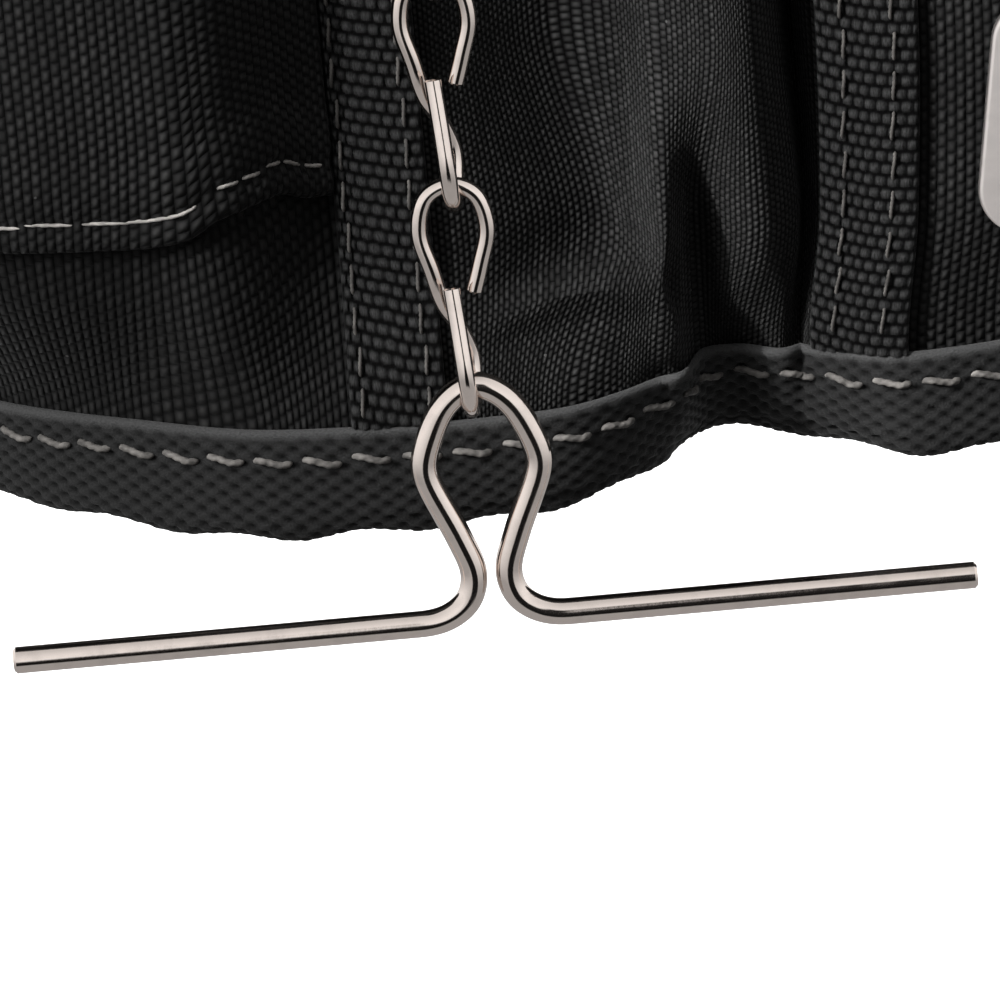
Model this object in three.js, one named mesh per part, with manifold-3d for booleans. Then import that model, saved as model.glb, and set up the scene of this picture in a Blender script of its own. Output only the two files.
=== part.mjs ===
// Tool pouch for a belt: woven nylon walls, webbing straps, a bound foot, a jack chain and a wire T-bar.
// Millimetres, +Z up, front towards -Y. The origin is the middle of the belt tunnel.

import * as THREE from 'three';
import { mergeVertices } from 'three/addons/utils/BufferGeometryUtils.js';
import Module from 'manifold-3d';

// Driving dimensions: the whole pouch
const FIT_GAP = 0.3;
const HALF_WIDTH = 88;
const FOOT_Z = -210;
const FRONT_Y = -92;
const CLOTH = 1.6;
const BACK_REAR_Y = -4.3;
const BACK_THICK = 2.5;
const BACK_TOP_Z = 50;
const BACK_CORNER = 25;

// Heights above the foot
const CUFF_H = 12.5;
const BELLY_H = 30;
const LIFT_H = 40;
const PLEAT_TURN = 3;
const CHEST_H = 52;
const MOUTH_H = 170;
const SKIN_HEIGHTS = [0, 6.25, CUFF_H, 18.5, 24.5, BELLY_H, 36.6, 46, 58, 86, 125, MOUTH_H];

// Fold lines of the front, from the left seam to the right seam. Columns: sideways place and depth behind the
// front-most line at the foot, belly, chest and mouth; how far the foot is lifted; how far it is tucked under
// the cuff.
const FOLD_COLUMNS = [
  'name', 'xFoot', 'backFoot', 'lift', 'tuck', 'xBelly', 'backBelly', 'xChest', 'backChest',
  'xMouth', 'backMouth',
];
const FOLD_ROWS = [
  ['left seam', -88, 84.9, 0, 0, -88, 84.9, -88, 84.9, -88, 84.9],
  ['left side', -88, 58, 0, 0, -88.3, 56.6, -88.5, 56, -88, 58],
  ['left flank', -81, 34, 0.5, 1, -84.5, 25, -86, 22, -84, 28],
  ['left outer', -67, 18, 1, 2, -69.5, 4.5, -70.5, 0.5, -66, 8],
  ['left belly', -52, 6.5, 0.5, 0, -51, -0.5, -49.5, -3.8, -48, 1.5],
  ['left inner', -40, 1, 0, 0, -41.5, -2, -42.5, -3.2, -41, 1],
  ['left strap edge', -29.5, 0, 0, 1, -29.5, 5.3, -29.5, 8, -29.5, 3],
  ['left strap middle', -24.4, 0, 0, 1.5, -24.4, 4.4, -24.4, 7, -24.4, 2],
  ['left strap inner edge', -19.3, 0.2, 0, 2, -19.3, 3.7, -19.3, 6, -19.3, 2.2],
  ['center valley', -6.5, 1.4, 0.8, 3.5, -1, 10, -5, 13, -5, 9],
  ['ridge foot', -0.8, 4.7, 1.4, 4.6, 2, 7, 2, 10.4, 3, 7],
  ['center ridge', 3.4, 8.6, 2, 6, 5.4, 0.8, 6, 6.6, 7, 4.5],
  ['ridge side', 5.7, 13.2, 2.4, 10.4, 6.8, 3.6, 9, 4, 10, 3],
  ['pleat', 8.8, 16.4, 2.35, 6, 8.9, 7.4, 12, 1.8, 13, 2.5],
  ['second ridge', 13, 17.3, 2.1, 6, 15.6, 2.8, 15.6, 0.8, 16.4, 4],
  ['gap side', 17.3, 16.1, 1.8, 7, 19.6, 6.4, 19, 8, 19.8, 20],
  ['gap', 19.4, 14.9, 1.6, 4.5, 21.2, 13, 21.4, 22, 22, 30],
  ['right strap edge', 20.5, 14.2, 1.5, 4.5, 22.6, 8.4, 23.4, 8, 24, 10],
  ['right strap middle', 25.5, 11, 1, 3.2, 27.5, 6.2, 28.7, 5.6, 29.5, 8],
  ['right strap outer edge', 30.8, 8, 0.6, 1.4, 32.8, 4.8, 34, 4.4, 35, 6.5],
  ['right belly', 45, 9.5, 0.5, 0.5, 46.4, 5.4, 47, 4, 47, 6],
  ['right outer', 67, 18, 1, 2, 69, 9.2, 70, 7, 66, 9],
  ['right flank', 81, 34, 0.5, 1, 84.5, 26.4, 86, 24, 84, 28],
  ['right side', 88, 58, 0, 0, 88.3, 56.6, 88.5, 56, 88, 58],
  ['right seam', 88, 84.9, 0, 0, 88, 84.9, 88, 84.9, 88, 84.9],
];
const STEPS_PER_FOLD = 3;
const SEAM_HALF_GAP = 0.04;

// Main compartment and floor
const MAIN_THICK = 1.8;
const MAIN_SIDE_GAP = 0.8;
const MAIN_FRONT_Y = -58;
const MAIN_CORNER = 24;
const MAIN_FRONT_TOP_H = 205;
const MAIN_BACK_TOP_H = 225;
const LIP_THICK = 1.5;
const LIP_FOOT_H = 0.6;
const LIP_TOP_H = 12.9;
const FLOOR_H = 13.5;
const FLOOR_THICK = 1.8;

// Binding tape
const BINDING_THICK = 1.2;
const BINDING_INNER_H = 8;
const BINDING_INNER_GAP = 1.2;
const BACK_COVER = BACK_THICK - CLOTH;
const BACK_END_X = 80;

// Belt tunnel
const TUNNEL_HALF_LENGTH = 60;
const TUNNEL_THICK = 1.8;
const TUNNEL_SLOT_DEPTH = 8;
const TUNNEL_SLOT_HALF_HEIGHT = 36;
const TUNNEL_SLOPE = 4;
const TUNNEL_FLANGE = 6;

// Straps and patch pocket
const WEBBING = 1.6;
const STRAP_FOOT_H = CUFF_H + 0.5;
const PATCH_EDGE_H = 36.6;
const PATCH_HEIGHTS = [PATCH_EDGE_H, 46, 58, 86, 115];
const PATCH_SEWN_H = 46;
const PATCH_MOUTH_LIFT = 11;

// Chain and T-bar
const CHAIN_X = -17;
const CHAIN_Y = -99.5;
const LINK_COUNT = 6;
const LINK_WIRE = 1.8;
const LINK_SIDES = 6;
const LINK_STEPS = 30;
const LINK_TOP = 12.1;
const LINK_BOTTOM = -12.75;
const LINK_HALF = 3.55;
const BAR_WIRE = 2.9;
const BAR_SIDES = 8;
const BAR_X = -16.2;
const BAR_APEX_H = 18;
const RIVET_SHANK = 1.8;
const RIVET_FLANGE = 4.5;
const RIVET_HEAD = 4.2;

// Half of the T-bar's wire, from the top of its loop to the end of an arm
const BAR_COLUMNS = ['name', 'half', 'drop'];
const BAR_ROWS = [
  ['apex', 0, -0.6],
  ['shoulder', 3.2, 1.2],
  ['upper side', 5.5, 5.5],
  ['widest', 6.15, 8],
  ['lower side', 5.9, 9.6],
  ['slant', 3.1, 16.4],
  ['neck', 1.85, 20.6],
  ['bend start', 2.6, 23.5],
  ['bend', 4.6, 25.2],
  ['bend end', 7.2, 25.9],
  ['arm', 20, 25.9],
  ['arm end', 51.8, 25.9],
];
const BAR_STEPS = 4;

// Tape clip
const CLIP_X = 58.5;
const CLIP_H = 39.5;
const CLIP_TILT = THREE.MathUtils.degToRad(8);
const CLIP_WIDTH = 38;
const CLIP_HEIGHT = 26;
const CLIP_CORNER = 5;
const CLIP_THICK = 1.5;
const CLIP_FRONT_Y = -96;
const CLIP_POST = 2.5;
const CLIP_POST_INSET = 8;

// Colours
const FABRIC = new THREE.MeshStandardMaterial({ color: 0x17181a, roughness: 0.85, metalness: 0 });
const WEB = new THREE.MeshStandardMaterial({ color: 0x1b1b1c, roughness: 0.8, metalness: 0 });
const TAPE = new THREE.MeshStandardMaterial({ color: 0x29292a, roughness: 0.85, metalness: 0 });
const NICKEL = new THREE.MeshStandardMaterial({ color: 0xcfc6bd, roughness: 0.18, metalness: 1 });

const folds = FOLD_ROWS.map((row) => Object.fromEntries(FOLD_COLUMNS.map((key, k) => [key, row[k]])));
const barRows = BAR_ROWS.map((row) => Object.fromEntries(BAR_COLUMNS.map((key, k) => [key, row[k]])));
const LAST_FOLD = folds.length - 1;
const foldAt = (name) => folds.findIndex((fold) => fold.name === name);

// Smooth curve through a few levels that never overshoots them
function monotone(knots, values, at) {
  const last = knots.length - 1;
  const place = Math.min(Math.max(at, knots[0]), knots[last]);
  const slopes = knots.slice(1).map((knot, k) => (values[k + 1] - values[k]) / (knot - knots[k]));
  const tangents = values.map((_, k) => {
    const before = slopes[Math.max(k - 1, 0)];
    const after = slopes[Math.min(k, last - 1)];
    return before * after <= 0 ? 0 : (2 * before * after) / (before + after);
  });
  const span = Math.min(knots.findLastIndex((knot) => knot <= place), last - 1);
  const width = knots[span + 1] - knots[span];
  const t = (place - knots[span]) / width;
  const blend = t * t * (3 - 2 * t);
  const ease = t * (1 - t) * width * (tangents[span] * (1 - t) - tangents[span + 1] * t);
  return values[span] * (1 - blend) + values[span + 1] * blend + ease;
}

// Plan curve of the front at one height
const planCurves = new Map();
function planCurve(height) {
  if (!planCurves.has(height)) {
    const levels = [0, CUFF_H, BELLY_H, CHEST_H, MOUTH_H];
    const points = folds.map((fold) => {
      const x = monotone(levels, [fold.xFoot, fold.xFoot, fold.xBelly, fold.xChest, fold.xMouth], height);
      const cuff = fold.backFoot - fold.tuck;
      const backs = [fold.backFoot, cuff, fold.backBelly, fold.backChest, fold.backMouth];
      const back = monotone(levels, backs, height);
      const lift = fold.lift * Math.max(0, 1 - height / LIFT_H);
      return new THREE.Vector3(x, FRONT_Y + back, FOOT_Z + height + lift);
    });
    planCurves.set(height, new THREE.CatmullRomCurve3(points, false, 'centripetal'));
  }
  return planCurves.get(height);
}

// Point of the front's outer face at a fold number and a height
function frontPoint(fold, height) {
  return planCurve(height).getPoint(fold / LAST_FOLD);
}

// The way out of the front's face, turned towards the front between the straps, where the pleats are narrow
function frontNormal(fold, height) {
  const step = 0.02;
  const rise = 0.25;
  const along = frontPoint(Math.min(fold + step, LAST_FOLD), height);
  along.sub(frontPoint(Math.max(fold - step, 0), height));
  const up = frontPoint(fold, Math.min(height + rise, MOUTH_H));
  up.sub(frontPoint(fold, Math.max(height - rise, 0)));
  const normal = along.cross(up).normalize();
  const turned = Math.min(fold - foldAt('left strap middle'), foldAt('right strap middle') - fold);
  normal.y -= PLEAT_TURN * Math.min(Math.max(turned, 0), 1);
  return normal.normalize();
}

function frontOffset(fold, height, out) {
  return frontPoint(fold, height).addScaledVector(frontNormal(fold, height), out);
}

// Closed solid through rings of equal size, closed round or capped at both ends
function loft(rings, { closed = false, cap = 'ladder' } = {}) {
  const size = rings[0].length;
  const points = rings.flat();
  const faces = [];
  const spans = closed ? rings.length : rings.length - 1;
  for (let r = 0; r < spans; r += 1) {
    const here = r * size;
    const next = ((r + 1) % rings.length) * size;
    for (let k = 0; k < size; k += 1) {
      const after = (k + 1) % size;
      faces.push([here + k, here + after, next + after]);
      faces.push([here + k, next + after, next + k]);
    }
  }
  if (!closed) {
    const ends = [0, (rings.length - 1) * size];
    const caps = ends.map((first) => (cap === 'fan' ? fanCap(points, first, size) : ladderCap(first, size)));
    caps[0].forEach(([a, b, c]) => faces.push([a, c, b]));
    faces.push(...caps[1]);
  }
  return solid(points, faces);
}

function ladderCap(first, size) {
  const faces = [];
  for (let k = 0; k < size / 2 - 1; k += 1) {
    const far = first + size - 1 - k;
    faces.push([first + k, first + k + 1, far - 1]);
    faces.push([first + k, far - 1, far]);
  }
  return faces;
}

function fanCap(points, first, size) {
  const middle = new THREE.Vector3();
  for (let k = 0; k < size; k += 1) {
    middle.addScaledVector(points[first + k], 1 / size);
  }
  const hub = points.push(middle) - 1;
  return Array.from({ length: size }, (_, k) => [first + k, first + ((k + 1) % size), hub]);
}

// Geometry from points and faces, with the faces turned to point out
function solid(points, faces) {
  const volume = faces.reduce((sum, [a, b, c]) => {
    return sum + points[a].dot(new THREE.Vector3().crossVectors(points[b], points[c]));
  }, 0);
  const outward = volume > 0 ? faces : faces.map(([a, b, c]) => [a, c, b]);
  const geometry = new THREE.BufferGeometry().setFromPoints(points);
  geometry.setIndex(outward.flat());
  geometry.computeVertexNormals();
  return geometry;
}

// Fold numbers from one fold line to another, on the columns that all layers share
function foldSteps(from, to) {
  const slack = 1e-6;
  const first = Math.floor(from * STEPS_PER_FOLD + slack) + 1;
  const last = Math.ceil(to * STEPS_PER_FOLD - slack) - 1;
  const between = Array.from({ length: last - first + 1 }, (_, k) => (first + k) / STEPS_PER_FOLD);
  return [from, ...between, to];
}

// Cloth wall on the front, between two distances out from the front's face
function frontPanel(from, to, heights, inner, outer) {
  const rings = foldSteps(from, to).map((fold) => {
    const face = heights.map((height) => frontOffset(fold, height, outer(fold, height)));
    const rear = heights.map((height) => frontOffset(fold, height, inner(fold, height)));
    return [...face, ...rear.reverse()];
  });
  return loft(rings);
}

function frontCloth(from, to) {
  return frontPanel(from, to, SKIN_HEIGHTS, () => -CLOTH, () => 0);
}

function strap(fromName, toName) {
  const heights = [STRAP_FOOT_H, ...SKIN_HEIGHTS.filter((height) => height > CUFF_H)];
  const outer = FIT_GAP + WEBBING;
  return frontPanel(foldAt(fromName), foldAt(toName), heights, () => FIT_GAP, () => outer);
}

// Patch on the left front, sewn at its foot and sides and standing open at its mouth
function patchPocket() {
  const from = foldAt('left flank');
  const to = foldAt('left strap edge') - 0.05;
  const mouth = PATCH_HEIGHTS.at(-1);
  const lift = (fold, height) => {
    const across = Math.sin((Math.PI * (fold - from)) / (to - from));
    const up = Math.max(0, (height - PATCH_SEWN_H) / (mouth - PATCH_SEWN_H));
    return FIT_GAP + PATCH_MOUTH_LIFT * across * up * up;
  };
  return frontPanel(from, to, PATCH_HEIGHTS, lift, (fold, height) => lift(fold, height) + CLOTH);
}

// Columns round the whole foot seam: the front's face, then the back panel
function footColumns() {
  const front = foldSteps(1 / STEPS_PER_FOLD, LAST_FOLD - 1 / STEPS_PER_FOLD).map((fold) => ({
    at: (height, out) => frontOffset(fold, height, out),
    cover: 0,
  }));
  const seamY = BACK_REAR_Y - BACK_COVER;
  const back = [
    [HALF_WIDTH, 1, 1],
    [BACK_END_X, 0, 1],
    [0, 0, 1],
    [-BACK_END_X, 0, 1],
    [-HALF_WIDTH, -1, 1],
  ].map(([x, outX, outY]) => ({
    at: (height, out) => new THREE.Vector3(x + outX * out, seamY + outY * out, FOOT_Z + height),
    cover: BACK_COVER,
  }));
  return [...front, ...back];
}

// Folded tape round the foot: an outer leaf, a turn under the edge and a lower inner leaf
function bottomBinding() {
  const inside = -(CLOTH + FIT_GAP + LIP_THICK + BINDING_INNER_GAP);
  const drop = (point, by) => point.setZ(point.z - by);
  const rings = footColumns().map(({ at, cover }) => {
    const near = cover + FIT_GAP;
    const far = near + BINDING_THICK;
    const turn = FIT_GAP + BINDING_THICK;
    return [
      at(CUFF_H, far),
      at(CUFF_H / 2, far),
      drop(at(0, far - BINDING_THICK / 3), turn * 0.7),
      drop(at(0, near), turn),
      drop(at(0, inside), turn),
      drop(at(0, inside - BINDING_THICK), turn * 0.7),
      at(BINDING_INNER_H, inside - BINDING_THICK),
      at(BINDING_INNER_H, inside),
      drop(at(0, inside), FIT_GAP),
      drop(at(0, near), FIT_GAP),
      at(CUFF_H / 2, near),
      at(CUFF_H, near),
    ];
  });
  return loft(rings, { closed: true });
}

// Floor with a lip that turns down inside the foot seam
function basePanel() {
  const outside = -(CLOTH + FIT_GAP);
  const inside = outside - LIP_THICK;
  const columns = footColumns();
  const middle = new THREE.Vector3(0, (FRONT_Y + BACK_REAR_Y) / 2, 0);
  const loop = (height, out) => columns.map(({ at }) => at(height, out));
  const inner = (height) => loop(height, inside).map((point) => {
    const flat = point.clone().lerp(middle, 0.12);
    return flat.setZ(FOOT_Z + height);
  });
  const under = FLOOR_H - FLOOR_THICK;
  const rings = [
    inner(FLOOR_H),
    loop(LIP_TOP_H, outside),
    loop(LIP_FOOT_H, outside),
    loop(LIP_FOOT_H, inside),
    loop(LIP_TOP_H - FLOOR_THICK, inside),
    inner(under),
  ];
  return loft(rings, { cap: 'fan' });
}

// U-shaped wall of the main compartment, higher at the back than at the front
function mainWall() {
  const halfOutside = HALF_WIDTH - CLOTH - MAIN_SIDE_GAP;
  const rearY = BACK_REAR_Y - BACK_THICK - FIT_GAP;
  const cornerX = halfOutside - MAIN_CORNER;
  const cornerY = MAIN_FRONT_Y + MAIN_CORNER;
  const plan = new THREE.Shape();
  plan.moveTo(-halfOutside, rearY);
  plan.lineTo(-halfOutside, cornerY);
  plan.absarc(-cornerX, cornerY, MAIN_CORNER, Math.PI, Math.PI * 1.5, false);
  plan.lineTo(cornerX, MAIN_FRONT_Y);
  plan.absarc(cornerX, cornerY, MAIN_CORNER, Math.PI * 1.5, Math.PI * 2, false);
  plan.lineTo(halfOutside, rearY);
  const path = plan.getPoints(6);
  const foot = FOOT_Z + FLOOR_H + FIT_GAP + 0.1;
  const rings = path.map((point, k) => {
    const before = path[Math.max(k - 1, 0)];
    const after = path[Math.min(k + 1, path.length - 1)];
    const along = after.clone().sub(before).normalize();
    const inY = along.x;
    const inX = -along.y;
    const rise = (point.y - MAIN_FRONT_Y) / (rearY - MAIN_FRONT_Y);
    const top = FOOT_Z + THREE.MathUtils.lerp(MAIN_FRONT_TOP_H, MAIN_BACK_TOP_H, rise);
    const face = [foot, top].map((z) => new THREE.Vector3(point.x, point.y, z));
    const rear = [top, foot].map((z) => {
      return new THREE.Vector3(point.x + inX * MAIN_THICK, point.y + inY * MAIN_THICK, z);
    });
    return [...face, ...rear];
  });
  return loft(rings);
}

// Flat outline in X and Z, made thick towards the front
function plate(shape, rearY, thickness) {
  const settings = { depth: thickness, bevelEnabled: false, curveSegments: 6 };
  const geometry = new THREE.ExtrudeGeometry(shape, settings);
  const basis = new THREE.Matrix4().makeBasis(
    new THREE.Vector3(1, 0, 0),
    new THREE.Vector3(0, 0, 1),
    new THREE.Vector3(0, -1, 0),
  );
  return geometry.applyMatrix4(basis).translate(0, rearY, 0);
}

function backPanel() {
  const half = HALF_WIDTH;
  const shape = new THREE.Shape();
  shape.moveTo(-half, FOOT_Z);
  shape.lineTo(half, FOOT_Z);
  shape.lineTo(half, BACK_TOP_Z - BACK_CORNER);
  shape.absarc(half - BACK_CORNER, BACK_TOP_Z - BACK_CORNER, BACK_CORNER, 0, Math.PI / 2, false);
  shape.lineTo(BACK_CORNER - half, BACK_TOP_Z);
  shape.absarc(BACK_CORNER - half, BACK_TOP_Z - BACK_CORNER, BACK_CORNER, Math.PI / 2, Math.PI, false);
  return plate(shape, BACK_REAR_Y, BACK_THICK);
}

// Sleeve behind the back panel, open at both ends along X
function beltTunnel() {
  const sewn = BACK_REAR_Y + FIT_GAP;
  const out = sewn + TUNNEL_SLOT_DEPTH;
  const bend = TUNNEL_SLOT_HALF_HEIGHT;
  const foot = bend + TUNNEL_SLOPE;
  const end = foot + TUNNEL_FLANGE;
  const inside = [[sewn, end], [sewn, foot], [out, bend], [out, -bend], [sewn, -foot], [sewn, -end]];
  const outside = inside.map(([y, z]) => [y + TUNNEL_THICK, z]).reverse();
  const shape = new THREE.Shape([...inside, ...outside].map(([y, z]) => new THREE.Vector2(y, z)));
  const geometry = new THREE.ExtrudeGeometry(shape, { depth: 2 * TUNNEL_HALF_LENGTH, bevelEnabled: false });
  const basis = new THREE.Matrix4().makeBasis(
    new THREE.Vector3(0, 1, 0),
    new THREE.Vector3(0, 0, 1),
    new THREE.Vector3(1, 0, 0),
  );
  return geometry.applyMatrix4(basis).translate(-TUNNEL_HALF_LENGTH, 0, 0);
}

// Round wire along a path of points
function wire(path, diameter, sides) {
  const tangents = path.map((_, k) => {
    const before = path[Math.max(k - 1, 0)];
    const after = path[Math.min(k + 1, path.length - 1)];
    return after.clone().sub(before).normalize();
  });
  const side = new THREE.Vector3(0, 1, 0).cross(tangents[0]).normalize();
  const rings = path.map((point, k) => {
    side.addScaledVector(tangents[k], -side.dot(tangents[k])).normalize();
    const other = tangents[k].clone().cross(side);
    return Array.from({ length: sides }, (_, s) => {
      const turn = (2 * Math.PI * s) / sides;
      const ring = point.clone().addScaledVector(side, (Math.cos(turn) * diameter) / 2);
      return ring.addScaledVector(other, (Math.sin(turn) * diameter) / 2);
    });
  });
  return loft(rings);
}

// One jack link: an upper loop that faces the front and a lower loop turned a quarter, from one wire
function chainLink() {
  const points = [
    [1.6, 0, 0.2],
    [2.6, 0, 3.4],
    [LINK_HALF, 0, 7.2],
    [2.55, 0, 10.9],
    [0, 0, LINK_TOP],
    [-2.55, 0, 10.9],
    [-LINK_HALF, 0, 7.2],
    [-2.6, 0, 3],
    [-1.7, 0.7, -1],
    [-0.2, 2.4, -4.4],
    [0.8, LINK_HALF, -8],
    [0.7, 2.5, -11.4],
    [0.4, 0, LINK_BOTTOM],
    [0.2, -2.5, -11.4],
    [0, -LINK_HALF, -8],
    [-0.35, -2.5, -3],
    [-0.7, -1.6, 1.35],
  ].map(([x, y, z]) => new THREE.Vector3(x, y, z));
  const curve = new THREE.CatmullRomCurve3(points, false, 'centripetal');
  return wire(curve.getSpacedPoints(LINK_STEPS), LINK_WIRE, LINK_SIDES);
}

// Bent wire with a spade-shaped loop and two level arms, hung at its apex
function tBar() {
  const half = barRows.map((row) => new THREE.Vector3(row.half, 0, -row.drop));
  const left = half.slice(1).reverse().map((point) => point.clone().setX(-point.x));
  const curve = new THREE.CatmullRomCurve3([...left, ...half], false, 'centripetal');
  const straight = 2;
  const spans = 2 * (barRows.length - 1);
  const path = [];
  for (let k = 0; k <= spans * BAR_STEPS; k += 1) {
    const span = k / BAR_STEPS;
    const onArm = span < straight || span > spans - straight;
    if (!onArm || Number.isInteger(span)) {
      path.push(curve.getPoint(span / spans));
    }
  }
  return wire(path, BAR_WIRE, BAR_SIDES);
}

// Plain post with a flange on the strap and a head in front of the chain
function chainRivet(rearY, headY) {
  const profile = [
    [0, rearY],
    [RIVET_FLANGE, rearY],
    [RIVET_FLANGE, rearY - 1],
    [RIVET_SHANK, rearY - 1.6],
    [RIVET_SHANK, headY],
    [RIVET_HEAD, headY],
    [RIVET_HEAD * 0.8, headY - 1.4],
    [0, headY - 1.9],
  ].map(([radius, y]) => new THREE.Vector2(radius, y));
  return new THREE.LatheGeometry(profile.reverse(), 16);
}

// Closed solid for joining, from a geometry's merged positions
function toManifold(wasm, geometry) {
  const bare = geometry.clone();
  bare.deleteAttribute('normal');
  bare.deleteAttribute('uv');
  const merged = mergeVertices(bare, 1e-4);
  const vertProperties = new Float32Array(merged.attributes.position.array);
  const triVerts = new Uint32Array(merged.index.array);
  return new wasm.Manifold(new wasm.Mesh({ numProp: 3, vertProperties, triVerts }));
}

function fromManifold(manifold) {
  const mesh = manifold.getMesh();
  const geometry = new THREE.BufferGeometry();
  geometry.setAttribute('position', new THREE.BufferAttribute(new Float32Array(mesh.vertProperties), 3));
  geometry.setIndex(new THREE.BufferAttribute(new Uint32Array(mesh.triVerts), 1));
  geometry.computeVertexNormals();
  return geometry;
}

// Steel plate with rounded corners, leaning a little, joined to two posts that stand on the right pocket
function tapeClip(wasm) {
  const inX = CLIP_WIDTH / 2 - CLIP_CORNER;
  const inZ = CLIP_HEIGHT / 2 - CLIP_CORNER;
  const shape = new THREE.Shape();
  shape.absarc(-inX, -inZ, CLIP_CORNER, Math.PI, Math.PI * 1.5, false);
  shape.absarc(inX, -inZ, CLIP_CORNER, Math.PI * 1.5, Math.PI * 2, false);
  shape.absarc(inX, inZ, CLIP_CORNER, 0, Math.PI / 2, false);
  shape.absarc(-inX, inZ, CLIP_CORNER, Math.PI / 2, Math.PI, false);
  const face = plate(shape, CLIP_FRONT_Y + CLIP_THICK, CLIP_THICK).rotateY(CLIP_TILT);
  let clip = toManifold(wasm, face.translate(CLIP_X, 0, FOOT_Z + CLIP_H));
  for (const side of [-1, 1]) {
    const reach = side * (CLIP_WIDTH / 2 - CLIP_POST_INSET);
    const x = CLIP_X + reach * Math.cos(CLIP_TILT);
    const height = CLIP_H - reach * Math.sin(CLIP_TILT);
    const seatY = frontAt(x, height) - FIT_GAP;
    const startY = CLIP_FRONT_Y + CLIP_THICK / 2;
    const post = new THREE.CylinderGeometry(CLIP_POST, CLIP_POST, seatY - startY, 12);
    post.translate(x, (seatY + startY) / 2, FOOT_Z + height);
    clip = clip.add(toManifold(wasm, post));
  }
  return fromManifold(clip);
}

// Front-most Y of the front's outer face under a post at X
function frontAt(x, height) {
  const samples = 120;
  const from = foldAt('right strap outer edge');
  const to = foldAt('right flank');
  const rises = [-CLIP_POST, 0, CLIP_POST];
  let nearest = 0;
  for (let k = 0; k <= samples; k += 1) {
    const fold = from + ((to - from) * k) / samples;
    const points = rises.map((rise) => frontPoint(fold, height + rise));
    points.filter((point) => Math.abs(point.x - x) < CLIP_POST).forEach((point) => {
      nearest = Math.min(nearest, point.y);
    });
  }
  return nearest;
}

function addPiece(group, name, geometry, material) {
  const mesh = new THREE.Mesh(geometry, material);
  mesh.name = name;
  group.add(mesh);
  return mesh;
}

function addChain(pouch) {
  const barApex = new THREE.Vector3(BAR_X, CHAIN_Y, FOOT_Z + BAR_APEX_H);
  addPiece(pouch, 't_bar', tBar(), NICKEL).position.copy(barApex);
  const lowest = barApex.z - barRows[0].drop - (BAR_WIRE + LINK_WIRE) / 2 - FIT_GAP - LINK_BOTTOM;
  const pitch = LINK_TOP - LINK_BOTTOM - LINK_WIRE - FIT_GAP;
  for (let k = 0; k < LINK_COUNT; k += 1) {
    const number = LINK_COUNT - k;
    const link = addPiece(pouch, `chain_link_${number}`, chainLink(), NICKEL);
    link.position.set(CHAIN_X, CHAIN_Y, lowest + pitch * k);
  }
  const apexZ = lowest + pitch * (LINK_COUNT - 1) + LINK_TOP;
  const shankZ = apexZ - LINK_WIRE / 2 - FIT_GAP - RIVET_SHANK;
  const strapFace = frontOffset(foldAt('left strap inner edge'), shankZ - FOOT_Z, WEBBING + 2 * FIT_GAP);
  const rivet = chainRivet(strapFace.y, CHAIN_Y - LINK_WIRE);
  addPiece(pouch, 'chain_rivet', rivet, NICKEL).position.set(CHAIN_X, 0, shankZ);
}

function buildPouch(wasm) {
  const pouch = new THREE.Group();
  const leftSeam = foldAt('left strap middle');
  const rightSeam = foldAt('right strap middle');
  addPiece(pouch, 'back_panel', backPanel(), FABRIC);
  addPiece(pouch, 'belt_tunnel', beltTunnel(), FABRIC);
  addPiece(pouch, 'main_wall', mainWall(), FABRIC);
  addPiece(pouch, 'base_panel', basePanel(), FABRIC);
  addPiece(pouch, 'pocket_left', frontCloth(0, leftSeam - SEAM_HALF_GAP), FABRIC);
  addPiece(pouch, 'pocket_center', frontCloth(leftSeam + SEAM_HALF_GAP, rightSeam - SEAM_HALF_GAP), FABRIC);
  addPiece(pouch, 'pocket_right', frontCloth(rightSeam + SEAM_HALF_GAP, LAST_FOLD), FABRIC);
  addPiece(pouch, 'patch_pocket', patchPocket(), FABRIC);
  addPiece(pouch, 'strap_left', strap('left strap edge', 'left strap inner edge'), WEB);
  addPiece(pouch, 'strap_right', strap('right strap edge', 'right strap outer edge'), WEB);
  addPiece(pouch, 'bottom_binding', bottomBinding(), TAPE);
  addPiece(pouch, 'tape_clip', tapeClip(wasm), NICKEL);
  addChain(pouch);
  return pouch;
}

const wasm = await Module();
wasm.setup();

export default buildPouch(wasm);
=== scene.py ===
# Looks of a belt tool pouch: woven nylon, webbing, folded tape, thread and bright nickel wire.
# Sizes are millimetres and become metres when a mesh is made.
import math

import bpy
import numpy as np
from mathutils import Matrix, Vector


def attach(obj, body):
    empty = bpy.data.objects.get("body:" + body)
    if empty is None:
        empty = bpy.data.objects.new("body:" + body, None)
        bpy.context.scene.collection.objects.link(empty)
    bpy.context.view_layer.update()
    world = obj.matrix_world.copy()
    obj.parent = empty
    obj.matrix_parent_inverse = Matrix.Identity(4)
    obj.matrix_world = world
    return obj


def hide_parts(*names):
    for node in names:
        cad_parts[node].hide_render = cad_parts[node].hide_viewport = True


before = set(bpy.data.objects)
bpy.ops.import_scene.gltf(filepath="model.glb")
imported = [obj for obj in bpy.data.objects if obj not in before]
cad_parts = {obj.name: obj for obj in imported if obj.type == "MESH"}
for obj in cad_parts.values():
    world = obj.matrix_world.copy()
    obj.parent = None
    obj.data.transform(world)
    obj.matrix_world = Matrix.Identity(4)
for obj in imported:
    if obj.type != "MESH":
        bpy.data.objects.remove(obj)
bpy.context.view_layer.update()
MM = 0.001

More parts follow.
